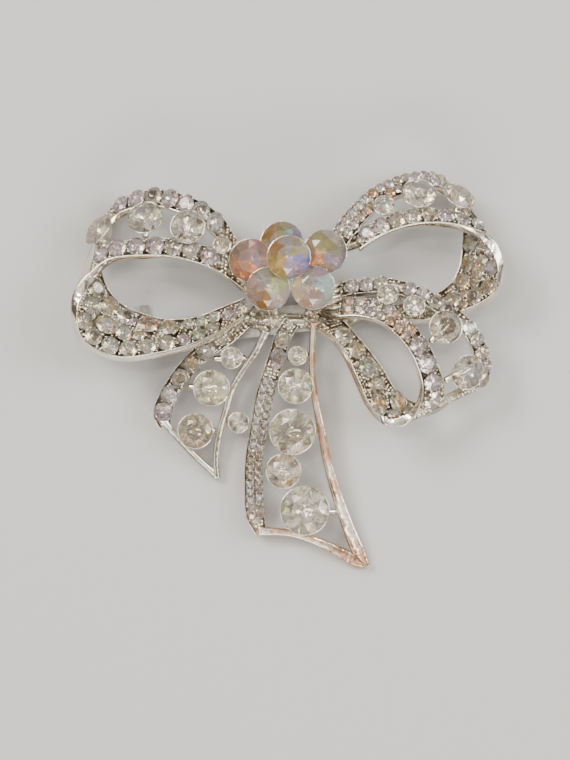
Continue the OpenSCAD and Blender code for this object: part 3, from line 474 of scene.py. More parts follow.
def set_inputs(tree, node, inputs):
    """Sets a node's inputs by name. A socket is linked, and anything else is the value itself."""
    for name, value in inputs.items():
        if isinstance(value, bpy.types.NodeSocket):
            tree.links.new(value, node.inputs[name])
        else:
            node.inputs[name].default_value = value


def add_node(tree, kind, output, inputs=None, **settings):
    """A new node with its settings and inputs. Gives one of its outputs."""
    node = tree.nodes.new("ShaderNode" + kind)
    for name, value in settings.items():
        setattr(node, name, value)
    set_inputs(tree, node, inputs or {})
    return node.outputs[output]


def noise_over(tree, coords, scale, detail):
    return add_node(tree, "TexNoise", "Fac", {"Vector": coords, "Scale": scale, "Detail": detail})


def add_bump(tree, shader, scale, strength, distance):
    """A fine ripple on the shader's normal. Gives the coordinates that it uses."""
    coords = add_node(tree, "TexCoord", "Object")
    ripple = {"Height": noise_over(tree, coords, scale, 3), "Strength": strength, "Distance": distance}
    set_inputs(tree, shader, {"Normal": add_node(tree, "Bump", "Normal", ripple)})
    return coords


def ramp_between(tree, source, low, high, span=(0.35, 0.65)):
    """A colour that goes from low to high as the source crosses the span."""
    ramp = tree.nodes.new("ShaderNodeValToRGB")
    for element, position, colour in zip(ramp.color_ramp.elements, span, (low, high)):
        element.position = position
        element.color = colour
    set_inputs(tree, ramp, {"Fac": source})
    return ramp.outputs["Color"]


def range_of(tree, source, span, results):
    """A number that goes between two results as the source crosses the span, and no further."""
    return add_node(tree, "MapRange", "Result", {
        "Value": source, "From Min": span[0], "From Max": span[1],
        "To Min": results[0], "To Max": results[1]})


def metal(name, light, dark, roughness, ripple_scale, ripple_strength):
    """Cast metal: colour and gloss drift a little over the surface, with a fine ripple."""
    material, tree, shader = new_material(name)
    coords = add_bump(tree, shader, ripple_scale, ripple_strength, RIPPLE_DEPTH)
    patches = noise_over(tree, coords, PATCH_SCALE, 2)
    gloss = range_of(tree, patches, (0, 1), (roughness * 0.75, roughness * 1.35))
    set_inputs(tree, shader, {"Metallic": 1.0, "Roughness": gloss,
                              "Base Color": ramp_between(tree, patches, dark, light)})
    return material


bright_metal = metal("bright_metal", (0.9, 0.86, 0.77, 1), (0.7, 0.62, 0.49, 1), 0.15, 900, 0.3)
# A darker copy of the metal, painted shade for the rails' beds and the cups' seats under the stones
painted_shade_metal = metal("painted_shade_metal", (0.56, 0.5, 0.41, 1), (0.24, 0.21, 0.17, 1), 0.26, 1600, 0.5)
rose_metal = metal("rose_metal", (0.88, 0.78, 0.64, 1), (0.68, 0.41, 0.26, 1), 0.14, 420, 0.35)
cast_metal = metal("cast_metal", (0.66, 0.6, 0.48, 1), (0.3, 0.26, 0.2, 1), 0.24, 1500, 0.8)
pin_steel = metal("pin_steel", (0.38, 0.36, 0.31, 1), (0.2, 0.185, 0.16, 1), 0.22, 1200, 0.25)


def stone_material(name, transmission, metallic, roughness):
    """Cut glass or its foil: the colour comes facet by facet from the tint, with faint clouds inside."""
    material, tree, shader = new_material(name)
    tint = add_node(tree, "Attribute", "Color", attribute_name="tint")
    noise = noise_over(tree, add_node(tree, "TexCoord", "Object"), CLOUD_SCALE, 2)
    clouds = ramp_between(tree, noise, (0.9, 0.88, 0.86, 1), WHITE)
    colour = add_node(tree, "Mix", "Result", {"Factor": 1.0, "A": tint, "B": clouds},
                      data_type="RGBA", blend_type="MULTIPLY")
    set_inputs(tree, shader, {"Base Color": colour, "Metallic": metallic, "IOR": GLASS_IOR,
                              "Transmission Weight": transmission, "Roughness": roughness})
    return material


# Each pair is the glassy top of a stone and the foil behind it
clear_materials = [stone_material("clear_crown", 0.84, 0.0, 0.02),
                   stone_material("clear_foil", 0.0, 1.0, 0.08)]
iris_materials = [stone_material("iris_crown", 0.74, 0.0, 0.02),
                  stone_material("iris_foil", 0.0, 1.0, 0.12)]


# Meshes
class Builder:
    """Collects the points and faces of one piece, in millimetres."""

    def __init__(self):
        self.points, self.faces, self.mats, self.tints = [], [], [], []

    def add(self, points, faces, mats=None, tints=None):
        first = len(self.points)
        self.points.extend(points)
        self.faces.extend([tuple(first + i for i in face) for face in faces])
        self.mats.extend(mats or [0] * len(faces))
        self.tints.extend(tints or [WHITE] * len(faces))

    def piece(self, name, materials, smooth=False, tinted=False):
        """The mesh object, moved so that the middle of the solids' box is over the origin."""
        mesh = bpy.data.meshes.new(name)
        mesh.from_pydata([tuple(p) for p in (np.asarray(self.points) - centre) * SCALE], [], self.faces)
        for material in materials:
            mesh.materials.append(material)
        mesh.polygons.foreach_set("material_index", self.mats)
        mesh.polygons.foreach_set("use_smooth", [smooth] * len(mesh.polygons))
        if tinted:
            colours = mesh.color_attributes.new("tint", "FLOAT_COLOR", "CORNER")
            flat = []
            for polygon, tint in zip(mesh.polygons, self.tints):
                flat.extend(list(tint) * polygon.loop_total)
            colours.data.foreach_set("color", flat)
        mesh.update()
        piece = bpy.data.objects.new(name, mesh)
        link(piece)
        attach(piece, "root")
        return piece


def tube_faces(rings, sides, first=0):
    """Quads between rings of points that follow each other."""
    faces = []
    for i in range(rings - 1):
        for k in range(sides):
            a, b = first + i * sides + k, first + i * sides + (k + 1) % sides
            faces.append((a, b, b + sides, a + sides))
    return faces


def closed_faces(rings, sides):
    """A tube's quads and its two ends."""
    points = range(rings * sides)
    return tube_faces(rings, sides) + [tuple(points[:sides])[::-1], tuple(points[-sides:])]


def sweep(builder, frames, sections, mats):
    """A closed tube through frames; mats gives the material of each side of the section."""
    points = [f.middle + f.cross * x + f.open * y for f, s in zip(frames, sections) for x, y in s]
    faces = closed_faces(len(frames), len(mats))
    onward = frames[1].middle - frames[0].middle
    if np.cross(frames[0].cross, frames[0].open) @ onward < 0:
        faces = [face[::-1] for face in faces]
    builder.add(points, faces, mats * (len(frames) - 1) + [0, 0])


def turned(x, y, angle):
    """The direction at an angle from x towards y."""
    return x * math.cos(angle) + y * math.sin(angle)


def arc(cx, cy, r, start, end, n):
    angles = np.radians(np.linspace(start, end, n))
    return [(cx + r * math.cos(a), cy + r * math.sin(a)) for a in angles]


# A rail: how far it stands back from its solid on each side, and the radius of its lower corners
RAIL_INSET, RAIL_CORNER = 0.05, 0.3
# A rim that drops more than this is hidden by its stones, which stand over it by the overhang
HIDDEN_DROP, OVERHANG = 0.2, 0.26
# Rims of a rail, near and far: width and drop
RAIL_RIMS = ((0.3, 0.1), (0.12, 0.3))
BAND_RIMS = ((0.2, 0.0), (0.2, 0.0))
PAIR_RIMS = ((0.14, 0.2), (0.12, 0.25))
# Materials of a rail's sides: bright round the outside and on the rims, and on the bed a darker metal that
# is painted shade
CHANNEL_MATS = [0] * 13 + [1, 1, 1] + [0] * 8


def bed_height(stone):
    """Height of a rail's bed, just under the points of its stones."""
    return RIBBON_T / 2 - PAVILION * stone - 3 * SEAT_GAP


def channel_section(width, stone, rims):
    """A rail with rounded rims and a bed between them.

    A rail whose far rim is low also narrows below it, so that its stones make the outline.
    """
    w, h, low = width / 2 - RAIL_INSET, RIBBON_T / 2, RAIL_CORNER
    bed = bed_height(stone)
    (near, near_drop), (far, far_drop) = rims
    hidden = far_drop > HIDDEN_DROP
    outer = w - OVERHANG if hidden else w
    keel = w - low - (w * 0.5 if hidden else 0)
    points = arc(-w + low, -h + low, low, 180, 270, 4) + arc(keel, -h + low, low, 270, 330, 4)
    points += arc(outer - far / 2, h - far_drop - far / 2, far / 2, 0, 180, 7)
    points += [(outer - far, bed), (near - w, bed)]
    points += arc(near / 2 - w, h - near_drop - near / 2, near / 2, 0, 180, 7)
    return points


# Plain rails: the radius of their corners and their wear. Then each kind's steps to a row
PLAIN_CORNER, WEAR, BEATS = 0.36, 0.02, 6
RAIL_STEPS, PLAIN_STEPS = 14, 16


def plain_section(width):
    """A plain rail, rounded above."""
    w, h = width / 2, RIBBON_T / 2
    r = min(PLAIN_CORNER, w * 0.7)
    return (arc(r - w, r - h, r, 180, 270, 4) + arc(w - r, r - h, r, 270, 360, 4)
            + arc(w - r, h - r, r, 0, 90, 5) + arc(r - w, h - r, r, 90, 180, 5))


def rail_frames(strip, per_row):
    length = strip.end - strip.start
    steps = max(4, round(length * per_row))
    return [strip_frame(strip, strip.start + length * i / steps) for i in range(steps + 1)]


def channel(builder, strip, rims):
    frames = rail_frames(strip, RAIL_STEPS)
    sweep(builder, frames, [channel_section(f.span, strip.stone, rims) for f in frames], CHANNEL_MATS)


def plain_rail(builder, strip, rng):
    """A plain rail, worn a little uneven."""
    frames = rail_frames(strip, PLAIN_STEPS)
    sections = []
    for f in frames:
        beat = [rng.uniform(-WEAR, WEAR) for _ in range(BEATS)]
        sections.append([
            (x * (1 + beat[i % BEATS] * 0.6), y + (beat[(i * 5) % BEATS] if y > 0 else 0))
            for i, (x, y) in enumerate(plain_section(f.span))])
    sweep(builder, frames, sections, [0] * len(sections[0]))


def rod(builder, a, b, ra, rb=None, sides=12):
    """A round bar between two points, with domed ends."""
    rb = ra if rb is None else rb
    axis = unit(b - a)
    x = unit(np.cross(axis, [0, 0, 1] if abs(axis[2]) < 0.9 else [1, 0, 0]))
    y = np.cross(axis, x)
    rings = [(a - axis * ra * 0.5, ra * 0.5), (a, ra), (b, rb), (b + axis * rb * 0.5, rb * 0.5)]
    points = []
    for at, r in rings:
        for k in range(sides):
            angle = 2 * math.pi * k / sides
            points.append(at + x * r * math.cos(angle) + y * r * math.sin(angle))
    builder.add(points, closed_faces(len(rings), sides))


def lathe(builder, place, profile, sides, mats):
    """Turns a profile of (radius, height) about a stone's axis."""
    points, n = [], len(profile)
    for k in range(sides):
        way = turned(place.x, place.y, 2 * math.pi * k / sides)
        points.extend([place.girdle + way * r + place.up * z for r, z in profile])
    faces, face_mats = [], []
    for k in range(sides):
        for j in range(n - 1):
            a, b = k * n + j, ((k + 1) % sides) * n + j
            faces.append((a, b, b + 1, a + 1))
            face_mats.append(mats[j])
    builder.add(points, faces, face_mats)


# Collets: the wall at the lip, and the lip's height as a share of the stone
LIP, KNOT_LIP = (CUP_WALL * 0.75, 0.012), (0.08, -0.01)


def cup(builder, place, d, wall, lip_rise):
    """A collet: its cone, its thin lip round the girdle and its seat, darkened as painted shade."""
    foot, top = -cup_depth(d), d / 2 + wall
    lip = d * lip_rise
    profile = [(0.001, foot), (d * CUP_FOOT * 0.9, foot), (d * CUP_FOOT, foot + 0.1), (top - 0.12, -0.2),
               (top, -0.08), (top, lip - 0.03), (top - 0.03, lip), (d / 2 + 0.06, lip),
               (d / 2 + 0.05, -0.04), (0.001, -d * PAVILION - 0.05)]
    lathe(builder, place, profile, 32, [0] * 8 + [1])


def bead(builder, at, up, r, skirt=0.6):
    """A small dome of metal on a short peg."""
    x = unit(np.cross(up, [0.3, 0.5, 0.8]))
    y = np.cross(up, x)
    points, sides = [at + up * r], 8
    profile = ((0.55, 0.83), (0.9, 0.42), (1.0, -skirt))
    for ring, height in profile:
        for k in range(sides):
            points.append(at + turned(x, y, math.radians(360 * k / sides)) * r * ring + up * r * height)
    faces = [(0, 1 + k, 1 + (k + 1) % sides) for k in range(sides)]
    faces += [(a, d, c, b) for a, b, c, d in tube_faces(len(profile), sides, 1)]
    builder.add(points, faces)


# Grains: how many rows to a step, their room across, their sizes, depths and distance from a stone
GRAIN_ROWS, GRAIN_PITCH, GRAIN_MARGIN, GRAIN_EDGE = 6, 0.55, 0.6, 0.45
GRAIN_SIZES, GRAIN_DEPTHS, GRAIN_CLEAR = (0.15, 0.27), (0.22, 0.42), 0.53


def grains(builder, strip, span, stones, rng):
    """Grains of metal on a rail's bed, wherever no stone lies over them."""
    first, last = span
    steps = max(2, round((last - first) * GRAIN_ROWS))
    bed = bed_height(strip.stone)
    for i in range(steps):
        at = strip_frame(strip, first + (last - first) * (i + rng.uniform(0.2, 0.8)) / steps)
        lanes = max(2, int((at.span - GRAIN_MARGIN) / GRAIN_PITCH))
        for k in range(lanes):
            across = (at.span / 2 - GRAIN_EDGE) * (2 * (k + rng.uniform(0.25, 0.75)) / lanes - 1)
            r = rng.uniform(*GRAIN_SIZES)
            top = RIBBON_T / 2 - rng.uniform(*GRAIN_DEPTHS)
            spot = at.middle + at.cross * across + at.open * top
            if all(np.linalg.norm(spot - place.girdle) > d * GRAIN_CLEAR + r * 0.6
                   for place, d, _ in stones):
                bead(builder, spot, at.open, r, (top - bed) / r)


# Cut stones: the reach of the stars and of the pavilion's upper row, as shares of the radius
STARS, MIDS = 0.78, 0.3
# How light or dark a facet is beside its stone's colour, a painted reflection, and the power that makes the
# knot paler
CLEAR_SHADES, KNOT_SHADES, KNOT_PALER = (0.82, 1.12), (0.8, 1.12), 0.9


def brilliant(builder, place, d, rng, tint, stretch=(1, 1), lean=0.0):
    """A round brilliant: table, stars, kites and upper facets, then the pavilion's two rows."""
    r, c, p = d / 2, d * CROWN, d * PAVILION
    turn = rng.uniform(0, 45)
    up = unit(place.up + place.x * rng.uniform(-lean, lean) + place.y * rng.uniform(-lean, lean))
    x = unit(place.x - up * (place.x @ up))
    y = np.cross(up, x)

    def at(radius, degrees, z):
        a = math.radians(degrees + turn)
        aside = x * radius * math.cos(a) * stretch[0] + y * radius * math.sin(a) * stretch[1]
        return place.girdle + aside + up * z

    star, mid = STARS * r, MIDS * r
    star_z = c * (r - star * math.cos(math.radians(22.5))) / (r * (1 - TABLE))
    mid_z = -p * (1 - mid * math.cos(math.radians(22.5)) / r)
    points = [at(r, 22.5 * k, 0) for k in range(16)]
    points += [at(TABLE * r, 45 * k, c) for k in range(8)]
    points += [at(star, 45 * k + 22.5, star_z) for k in range(8)]
    points += [at(mid, 45 * k + 22.5, mid_z) for k in range(8)] + [at(0, 0, -p)]
    # Where the points of the table, the stars, the pavilion's row and the tip begin
    top, out, low, tip = 16, 24, 32, 40
    faces, mats = [tuple(range(top, out))], [0]
    for k in range(8):
        n = (k + 1) % 8
        faces += [(top + k, out + k, top + n), (top + k, out + (k - 1) % 8, 2 * k, out + k)]
        faces += [(out + k, 2 * k, 2 * k + 1), (out + k, 2 * k + 1, (2 * k + 2) % 16)]
        mats += [0] * 4
    for k in range(8):
        faces += [(tip, low + k, 2 * k, low + (k - 1) % 8)]
        faces += [(low + k, 2 * k + 1, 2 * k), (low + k, (2 * k + 2) % 16, 2 * k + 1)]
        mats += [1] * 3
    builder.add(points, faces, mats, [tint(m) for m in mats])


def broad_cut(builder, place, d, patches, rng):
    """A knot stone: few broad facets. Each takes the colour of the nearest patch of the stone."""
    r, c, p = d / 2, d * CROWN, d * PAVILION
    turn = rng.uniform(0, 45)

    def at(radius, degrees, z):
        a = math.radians(degrees + turn)
        aside = place.x * radius * math.cos(a) + place.y * radius * math.sin(a)
        return place.girdle + aside + place.up * z

    # The girdle's corners and middles, a ring on the crown, the table, its middle, and the tip
    points = [at(r, 45 * k, 0) for k in range(8)] + [at(r * 0.99, 45 * k + 22.5, 0) for k in range(8)]
    points += [at(0.82 * r, 45 * k, c * 0.52) for k in range(8)]
    points += [at(TABLE * r, 45 * k + 22.5, c) for k in range(8)]
    points += [at(0.06 * r, rng.uniform(0, 360), c), at(0, 0, -p)]
    side, ring, top, middle, tip = 8, 16, 24, 32, 33
    faces, mats = [], []
    for k in range(8):
        n = (k + 1) % 8
        faces += [(middle, top + k, top + n), (top + k, ring + n, top + n)]
        faces += [(side + k, ring + n, top + k, ring + k)]
        faces += [(k, side + k, ring + k), (side + k, n, ring + n)]
        mats += [0] * 5
    for k in range(8):
        faces += [(tip, side + k, k), (tip, (k + 1) % 8, side + k)]
        mats += [1] * 2
    tints = []
    for face in faces:
        x, y, _ = (sum(points[i] for i in face) / len(face) - place.girdle) / r
        _, colour = min((math.hypot(x - px, y - py), colour) for px, py, colour in patches)
        k = rng.uniform(*KNOT_SHADES)
        tints.append(tuple(min(1, v ** KNOT_PALER * k) for v in colour) + (1,))
    builder.add(points, faces, mats, tints)


# Colours of the clear stones, and of the pale and dark facets painted as reflections in them
CHAMPAGNE, PEARL_AND_PALE_REFLECTION, ROSE = (0.86, 0.77, 0.61), (1.0, 0.96, 0.9), (0.96, 0.81, 0.83)
PAINTED_DARK_REFLECTION, SAGE, STRAW = (0.36, 0.31, 0.25), (0.86, 0.85, 0.68), (0.85, 0.73, 0.47)
RAIL_TONES, FACE_TONES = (ROSE, ROSE, PEARL_AND_PALE_REFLECTION, CHAMPAGNE), (CHAMPAGNE, SAGE, ROSE, STRAW)
MAIN_TONES = (SAGE, CHAMPAGNE)
# Painted glints, where small stones take one colour: across and up from the knot, reach and colour
AMBER_GLINT, ORANGE_GLINT, GREEN_GLINT = (0.76, 0.6, 0.36), (0.98, 0.62, 0.34), (0.78, 0.86, 0.52)
PAINTED_GLINTS = [
    (-19.2, -8.4, 1.6, ORANGE_GLINT), (-13.4, -9.2, 2.2, GREEN_GLINT), (8.3, -5.6, 1.8, ORANGE_GLINT),
    (17.8, -8.6, 3.2, ORANGE_GLINT), (-4.2, -36.8, 1.6, ORANGE_GLINT), (26, -3, 4, AMBER_GLINT),
    (14, -19, 4, AMBER_GLINT), (13.6, 8.8, 2.4, ORANGE_GLINT), (-13.1, -13, 1.8, AMBER_GLINT),
    (-4.9, -29, 2.4, AMBER_GLINT), (18.5, 10.5, 1.8, GREEN_GLINT), (-12, -17, 1.4, ORANGE_GLINT),
]


def clear_tint(place, rng, tones, glints):
    """Tints of one clear stone: its own colour, or a painted glint's colour near one, with a few pale and
    dark facets that are painted reflections.
    """
    own = rng.choice(tones)
    for x, y, reach, colour in glints:
        if math.hypot(place.girdle[0] - x, place.girdle[1] - y) < reach:
            own = colour

    def pick(mat):
        share = 2 if mat else 3
        # Some facets take a pale or a dark colour as a painted reflection
        base = rng.choice([own] * share + [PEARL_AND_PALE_REFLECTION] * share + [PAINTED_DARK_REFLECTION])
        k = rng.uniform(*CLEAR_SHADES)
        return tuple(min(1, c * k) for c in base) + (1,)
    return pick


AMBER, GOLD, OLIVE, TAN = (0.58, 0.3, 0.09), (0.68, 0.48, 0.16), (0.53, 0.5, 0.22), (0.55, 0.4, 0.27)
MAUVE, SALMON, PEACH, ORANGE = (0.6, 0.4, 0.36), (0.83, 0.38, 0.22), (0.88, 0.6, 0.4), (0.92, 0.46, 0.24)
GREY, LILAC, VIOLET, PALE = (0.5, 0.47, 0.43), (0.5, 0.43, 0.58), (0.36, 0.36, 0.85), (0.78, 0.73, 0.66)
# The pale cyan is a painted highlight on a facet of a knot stone
GREEN, PAINTED_HIGHLIGHT = (0.66, 0.76, 0.42), (0.62, 0.93, 1.0)
# Patches of colour on each knot stone, with a painted highlight on the top and low right stones: across and
# up as shares of its radius
PATCHES = {
    "knot_stone_top": [(-0.7, 0.35, AMBER), (-0.3, 0.7, AMBER), (0, 0.55, OLIVE), (-0.4, -0.1, MAUVE),
                       (0.1, 0.1, GREY), (0.75, 0.55, LILAC), (0.55, 0.22, PAINTED_HIGHLIGHT)],
    "knot_stone_left": [(0.1, 0.7, MAUVE), (-0.6, 0.4, TAN), (-0.6, -0.3, SALMON), (0, -0.6, SALMON),
                        (0.4, 0.4, GREY), (0.35, 0, LILAC), (0.8, -0.1, PALE), (-0.1, 0.2, MAUVE)],
    "knot_stone_right": [(-0.2, 0.4, OLIVE), (0.2, 0.35, OLIVE), (0.5, 0.65, PALE), (0.75, 0.1, GREY),
                         (0.3, -0.4, LILAC), (-0.5, -0.4, ORANGE), (-0.8, 0.2, TAN), (0, -0.7, TAN)],
    "knot_stone_low_left": [(-0.65, 0.1, MAUVE), (-0.2, 0.4, GREY), (0.5, 0.3, GREEN), (0.2, 0.8, OLIVE),
                            (-0.05, -0.55, AMBER), (0.5, -0.45, PALE), (-0.6, -0.5, MAUVE)],
    "knot_stone_low_right": [(-0.65, 0, PEACH), (-0.3, -0.6, PEACH), (-0.1, 0.5, GREY), (0.05, -0.1, MAUVE),
                             (0.55, 0.1, PAINTED_HIGHLIGHT), (0.4, -0.75, PALE), (0.2, 0.8, LILAC)],
    "knot_stone_centre": [(-0.5, 0.5, AMBER), (-0.65, -0.1, GOLD), (-0.35, -0.6, GOLD), (0, 0.5, GREY),
                          (0.2, -0.5, LILAC), (0.55, -0.1, VIOLET), (0.75, 0.45, PALE),
                          (0.05, 0.05, OLIVE)],
}

# Ribbons, rails, cups and bars
loop_strips = {
    "left_loop_ribbon": [(left_near, RAIL_RIMS), (left_far, RAIL_RIMS), (left_inner, BAND_RIMS)],
    "right_loop_ribbon": [(right_near, RAIL_RIMS), (right_far, PAIR_RIMS), (right_inner, BAND_RIMS)],
    "lower_loop_ribbon": [(lower_near, RAIL_RIMS), (lower_far, PAIR_RIMS), (lower_inner, BAND_RIMS)],
    "tail_stone_rails": [(left_tail, PAIR_RIMS), (right_tail, PAIR_RIMS)],
}
metal_pieces = []
for name, strips in loop_strips.items():
    build = Builder()
    for strip, rims in strips:
        channel(build, strip, rims)
    metal_pieces.append(build.piece(name, [bright_metal, painted_shade_metal], smooth=True))

wear_rng = random.Random(5)
for name, strips, finish in (("left_plain_rails", [left_side, left_foot], bright_metal),
                             ("right_plain_rails", [right_side, right_foot], rose_metal)):
    build = Builder()
    for strip in strips:
        plain_rail(build, strip, wear_rng)
    metal_pieces.append(build.piece(name, [finish], smooth=True))

build = Builder()
for name, (place, d) in mains.items():
    cup(build, place, d, *(KNOT_LIP if name in PATCHES else LIP))
metal_pieces.append(build.piece("stone_cups", [bright_metal, painted_shade_metal], smooth=True))


def beside(at, way):
    return at.middle + at.cross * way * (at.span / 2 + BAR_D / 2 - RIM)


def behind(strip, t):
    at = strip_frame(strip, t)
    return at.middle - at.open * (RIBBON_T / 2 + ARM_D * 0.3)


def bridge_point(share):
    return np.array([KNOT_SPREAD * (bridge_start + bridge_span * share), bridge_y, bridge_z])


build = Builder()
for rows, near, far in ((left_mains, left_near, left_far), (right_mains, right_near, right_far),
                        (lower_mains, lower_near, lower_far)):
    for row in rows:
        ends = (beside(strip_frame(near, row[0]), 1), beside(strip_frame(far, row[0]), -1))
        rod(build, *ends, BAR_D / 2)
for length, rows, bars in ((LEFT_TAIL, left_tail_mains, left_tail_bars),
                           (RIGHT_TAIL, right_tail_mains, right_tail_bars)):
    for stone, strip, t in bars:
        at = strip_frame(strip, t)
        seat = tail_spot(length, rows[stone])
        rod(build, seat, beside(at, 1 if (seat - at.middle) @ at.cross > 0 else -1), BAR_D / 2)
metal_pieces.append(build.piece("stone_bars", [bright_metal], smooth=True))

# The arms under the knot. An arm meets a ribbon a little way in from its end
START_IN, TAIL_IN, LAST_IN = 0.15, 0.1, LAST - 0.2
# Where each rail of the lower loop runs in under the knot, on three rods that spread across it
LOWER_ROOTS = ((lower_near, (5.4, -6.0, 6.6)), (lower_far, (5.2, -4.2, 7.2)))
LOWER_ROD, LOWER_ROD_ROOT, LOWER_SPREAD = 0.4, 0.55, (-0.38, 0, 0.38)
build = Builder()
feet = {}
for name in PATCHES:
    place, d = mains[name]
    feet[name] = place.girdle - place.up * d * PAVILION
    rod(build, hub, feet[name], ARM_D / 2)
for strip in (left_near, left_far, right_near, right_far):
    rod(build, hub, behind(strip, strip.start + START_IN), ARM_D / 2)
for share, end in ((0.1, feet["knot_stone_low_left"]), (0.85, feet["knot_stone_low_right"]),
                   (0, behind(left_inner, LAST_IN)), (1, behind(right_inner, LAST_IN)),
                   (0.72, behind(lower_inner, LAST_IN))):
    rod(build, bridge_point(share), end, ARM_D / 2)
for strip, base in LOWER_ROOTS:
    rod(build, bridge_point(0.95), behind(strip, START_IN), ARM_D / 2)
    at = strip_frame(strip, TAIL_IN)
    for side in LOWER_SPREAD:
        root = np.array(base) + np.array([0, side * 1.6, 0])
        rod(build, at.middle + at.cross * at.span * side, root, LOWER_ROD, LOWER_ROD_ROOT)
for share, strip in ((0.1, left_tail), (0.1, left_side), (0.5, right_tail), (0.5, right_side)):
    rod(build, bridge_point(share), behind(strip, TAIL_IN), ARM_D / 2)
rod(build, bridge_point(0), bridge_point(1), BRIDGE_T / 2, sides=20)
metal_pieces.append(build.piece("knot_arms", [cast_metal], smooth=True))

# The rough casting under the two low knot stones: lumps on rods that fan out from the bridge
FAN_LUMPS, BRIDGE_LUMPS, FAN_ROD = 16, 90, ARM_D * 0.36
FAN_SIZES, BRIDGE_SIZES = (0.2, 0.46), (0.18, 0.42)
FANS = {"knot_stone_low_left": (-0.02, 0.06, 0.17, 0.27),
        "knot_stone_low_right": (0.6, 0.69, 0.78, 0.93, 1.01)}
build = Builder()
lump_rng = random.Random(8)
for name, shares in FANS.items():
    for share in shares:
        root, tip = bridge_point(share), feet[name]
        rod(build, root, tip, FAN_ROD)
        for _ in range(FAN_LUMPS):
            way = unit(np.array([lump_rng.uniform(*reach) for reach in ((-1, 1), (-0.6, 0.2), (0.2, 1))]))
            spot = root + (tip - root) * lump_rng.uniform(0, 0.75)
            bead(build, spot + way * ARM_D * 0.3, way, lump_rng.uniform(*FAN_SIZES))
for _ in range(BRIDGE_LUMPS):
    share = lump_rng.uniform(0, 1)
    angle = math.radians(lump_rng.uniform(-100, 80))
    way = np.array([0, -math.sin(angle), math.cos(angle)])
    bead(build, bridge_point(share) + way * BRIDGE_T * 0.48, way, lump_rng.uniform(*BRIDGE_SIZES))
metal_pieces.append(build.piece("knot_casting", [cast_metal], smooth=True))

# Small stones: strip, rows, single stones, spread across the row, first and last place of the grains
fields = {
    "left_rail_stones": [(left_near, left_near_row, (), 1.16, (0.1, 5)),
                         (left_far, left_far_row, (), 1.24, (0.05, 5))],
    "left_inner_stones": [(left_inner, left_inner_rows, left_inner_fill, 1.12, (6.6, 14))],
    "right_rail_stones": [(right_near, right_near_row, (), 1.2, (1.15, 5.8)),
                          (right_far, right_far_rows, (), 1.16, (0.05, 5.8))],
    "right_inner_stones": [(right_inner, right_inner_rows, right_inner_fill, 1.12, (6.6, 13.2))],
    "lower_rail_stones": [(lower_far, lower_far_row, (), 1.26, (0.05, 7.5))],
    "lower_band_stones": [(lower_near, lower_near_rows, (), 1.16, (0.05, 7.5))],
    "lower_inner_stones": [(lower_inner, lower_inner_rows, lower_inner_fill, 1.16, (8.8, 14))],
    "left_tail_rail_stones": [(left_tail, left_tail_row, (), 1.24, (0.05, 5.9))],
    "right_tail_rail_stones": [(right_tail, right_tail_rows, (), 1.2, (0.05, 9.6))],
}
# The four beads that hold a small stone: how far out they stand and how deep, and their size
BEAD_OUT, BEAD_SINK, BEAD_SHARE, BEAD_LEAST = 0.12, 0.05, 0.06, 0.05
beads = Builder()
for seed, (name, parts) in enumerate(fields.items(), 40):
    rng = random.Random(seed)
    build = Builder()
    for strip, rows, fill, spread, span in parts:
        stones = [stone for row in rows for stone in row_stones(strip, row)]
        stones += fill_stones(strip, rows, fill)
        grains(beads, strip, span, stones, rng)
        tones = FACE_TONES if strip.face < 0 else RAIL_TONES
        for place, d, room in stones:
            tint = clear_tint(place, rng, tones, PAINTED_GLINTS)
            brilliant(build, place, d, rng, tint, (spread, room), LEAN)
            for angle in (45, 135, 225, 315):
                way = turned(place.x, place.y, math.radians(angle))
                spot = place.girdle + way * (d / 2 + BEAD_OUT) - place.up * BEAD_SINK
                bead(beads, spot, place.up, d * BEAD_SHARE + BEAD_LEAST)
    piece = build.piece(name + "_cut", clear_materials, tinted=True)
    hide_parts(name)
metal_pieces.append(beads.piece("setting_beads", [bright_metal], smooth=True))

for piece in metal_pieces:
    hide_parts("bow_frame")

# Main stones, cut a little larger than their solids, so that they meet their cups
MAIN_GROWTH = 0.1
for seed, (name, (place, d)) in enumerate(mains.items(), 100):
    build = Builder()
    rng = random.Random(seed)
    knot = name in PATCHES
    if knot:
        broad_cut(build, place, d + MAIN_GROWTH, PATCHES[name], rng)
    else:
        brilliant(build, place, d + MAIN_GROWTH, rng, clear_tint(place, rng, MAIN_TONES, ()))
    piece = build.piece(name + "_cut", iris_materials if knot else clear_materials, tinted=True)
    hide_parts(name)

# The pin back stays as it is, with softened edges
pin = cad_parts["pin"]
pin.data.materials.clear()
pin.data.materials.append(pin_steel)
soften = pin.modifiers.new("soft_edges", "BEVEL")
soften.width = 0.15 * SCALE
soften.segments = 2
soften.limit_method = "ANGLE"

# Floor, light and camera, in metres. The floor lies a hair below the brooch
FLOOR_HALF, FLOOR_Z = 1, -2e-5
floor_mesh = bpy.data.meshes.new("floor")
corners = [(x * FLOOR_HALF, y * FLOOR_HALF, FLOOR_Z) for x, y in ((-1, -1), (1, -1), (1, 1), (-1, 1))]
floor_mesh.from_pydata(corners, [], [(0, 1, 2, 3)])
floor = bpy.data.objects.new("floor", floor_mesh)
link(floor)
floor_material, floor_tree, floor_shader = new_material("floor_paper")
set_inputs(floor_tree, floor_shader, {"Base Color": (0.5, 0.49, 0.475, 1), "Roughness": 0.7})
add_bump(floor_tree, floor_shader, 900, 0.05, 0.0001)
floor_mesh.materials.append(floor_material)


def area_light(name, at, size, power, colour):
    """A lamp that faces the origin."""
    data = bpy.data.lights.new(name, "AREA")
    data.shape = "RECTANGLE"
    data.size, data.size_y = size
    data.energy = power
    data.color = colour
    light = bpy.data.objects.new(name, data)
    light.location = at
    light.rotation_euler = (-Vector(at)).to_track_quat("-Z", "Y").to_euler()
    link(light)


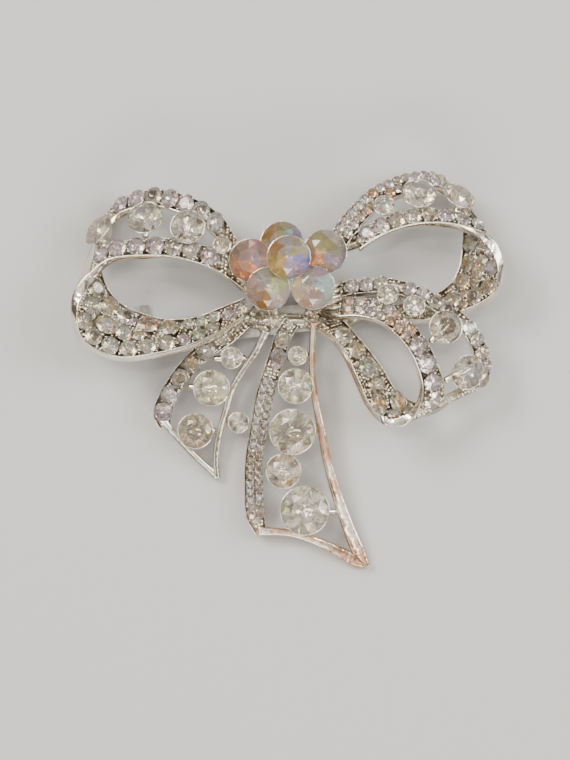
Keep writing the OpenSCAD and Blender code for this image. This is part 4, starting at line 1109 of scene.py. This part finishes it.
area_light("key", (-0.35, 0.3, 0.5), (0.3, 0.2), 4, (1, 0.97, 0.93))
area_light("fill", (0.45, 0.1, 0.4), (0.25, 0.35), 2.5, (0.95, 0.97, 1))
area_light("low", (0.05, -0.5, 0.3), (0.4, 0.12), 2, (1, 0.95, 0.9))
area_light("spark_left", (-0.12, 0.1, 0.6), (0.03, 0.03), 0.5, (1, 0.98, 0.95))
area_light("spark_right", (0.2, 0.2, 0.55), (0.04, 0.02), 0.5, (1, 0.9, 0.78))

# A studio that is bright above and dim at the sides, with soft brighter and darker patches
LOW_LIGHT, HIGH_LIGHT = (0.13, 0.12, 0.11, 1), (1.0, 0.97, 0.92, 1)
STUDIO_PATCHES, LAMP_SCALE = 3.4, 4.2
world = bpy.data.worlds.new("studio")
bpy.context.scene.world = world
world.use_nodes = True
studio = world.node_tree
around = add_node(studio, "TexCoord", "Generated")
height = add_node(studio, "SeparateXYZ", "Z", {"Vector": around})
rise = ramp_between(studio, height, LOW_LIGHT, HIGH_LIGHT, (0.05, 0.9))
patches = noise_over(studio, around, STUDIO_PATCHES, 1)
contrast = range_of(studio, patches, (0.38, 0.62), (0.08, 1.5))
# Small bright lamps all over the ceiling, for the sparkle of the facets
lamps = add_node(studio, "TexVoronoi", "Distance", {"Vector": around, "Scale": LAMP_SCALE})
glare = range_of(studio, lamps, (0.1, 0.17), (30, 0))
level = add_node(studio, "Math", "Value", {0: contrast, 1: glare}, operation="ADD")
light = add_node(studio, "VectorMath", "Vector", {"Vector": rise, "Scale": level}, operation="SCALE")
set_inputs(studio, studio.nodes["Background"], {"Color": light, "Strength": 1.0})

# The camera looks straight down from its height. A pixel is 0.145 mm at the middle of the bow's depth
PHOTO_W, PHOTO_H, KNOT_X, KNOT_Y = 570, 760, 288, 266
PIXEL, HEIGHT, MIDDLE_DEPTH, SENSOR = 0.145 * SCALE, 1.0, 0.006, 36
camera_data = bpy.data.cameras.new("camera")
camera_data.sensor_fit = "HORIZONTAL"
camera_data.sensor_width = SENSOR
camera_data.lens = SENSOR * (HEIGHT - MIDDLE_DEPTH) / (PHOTO_W * PIXEL)
camera_data.clip_start = 0.01
camera = bpy.data.objects.new("camera", camera_data)
camera.location = ((PHOTO_W / 2 - KNOT_X) * PIXEL - centre[0] * SCALE,
                   (KNOT_Y - PHOTO_H / 2) * PIXEL - centre[1] * SCALE, HEIGHT)
link(camera)
bpy.context.scene.camera = camera
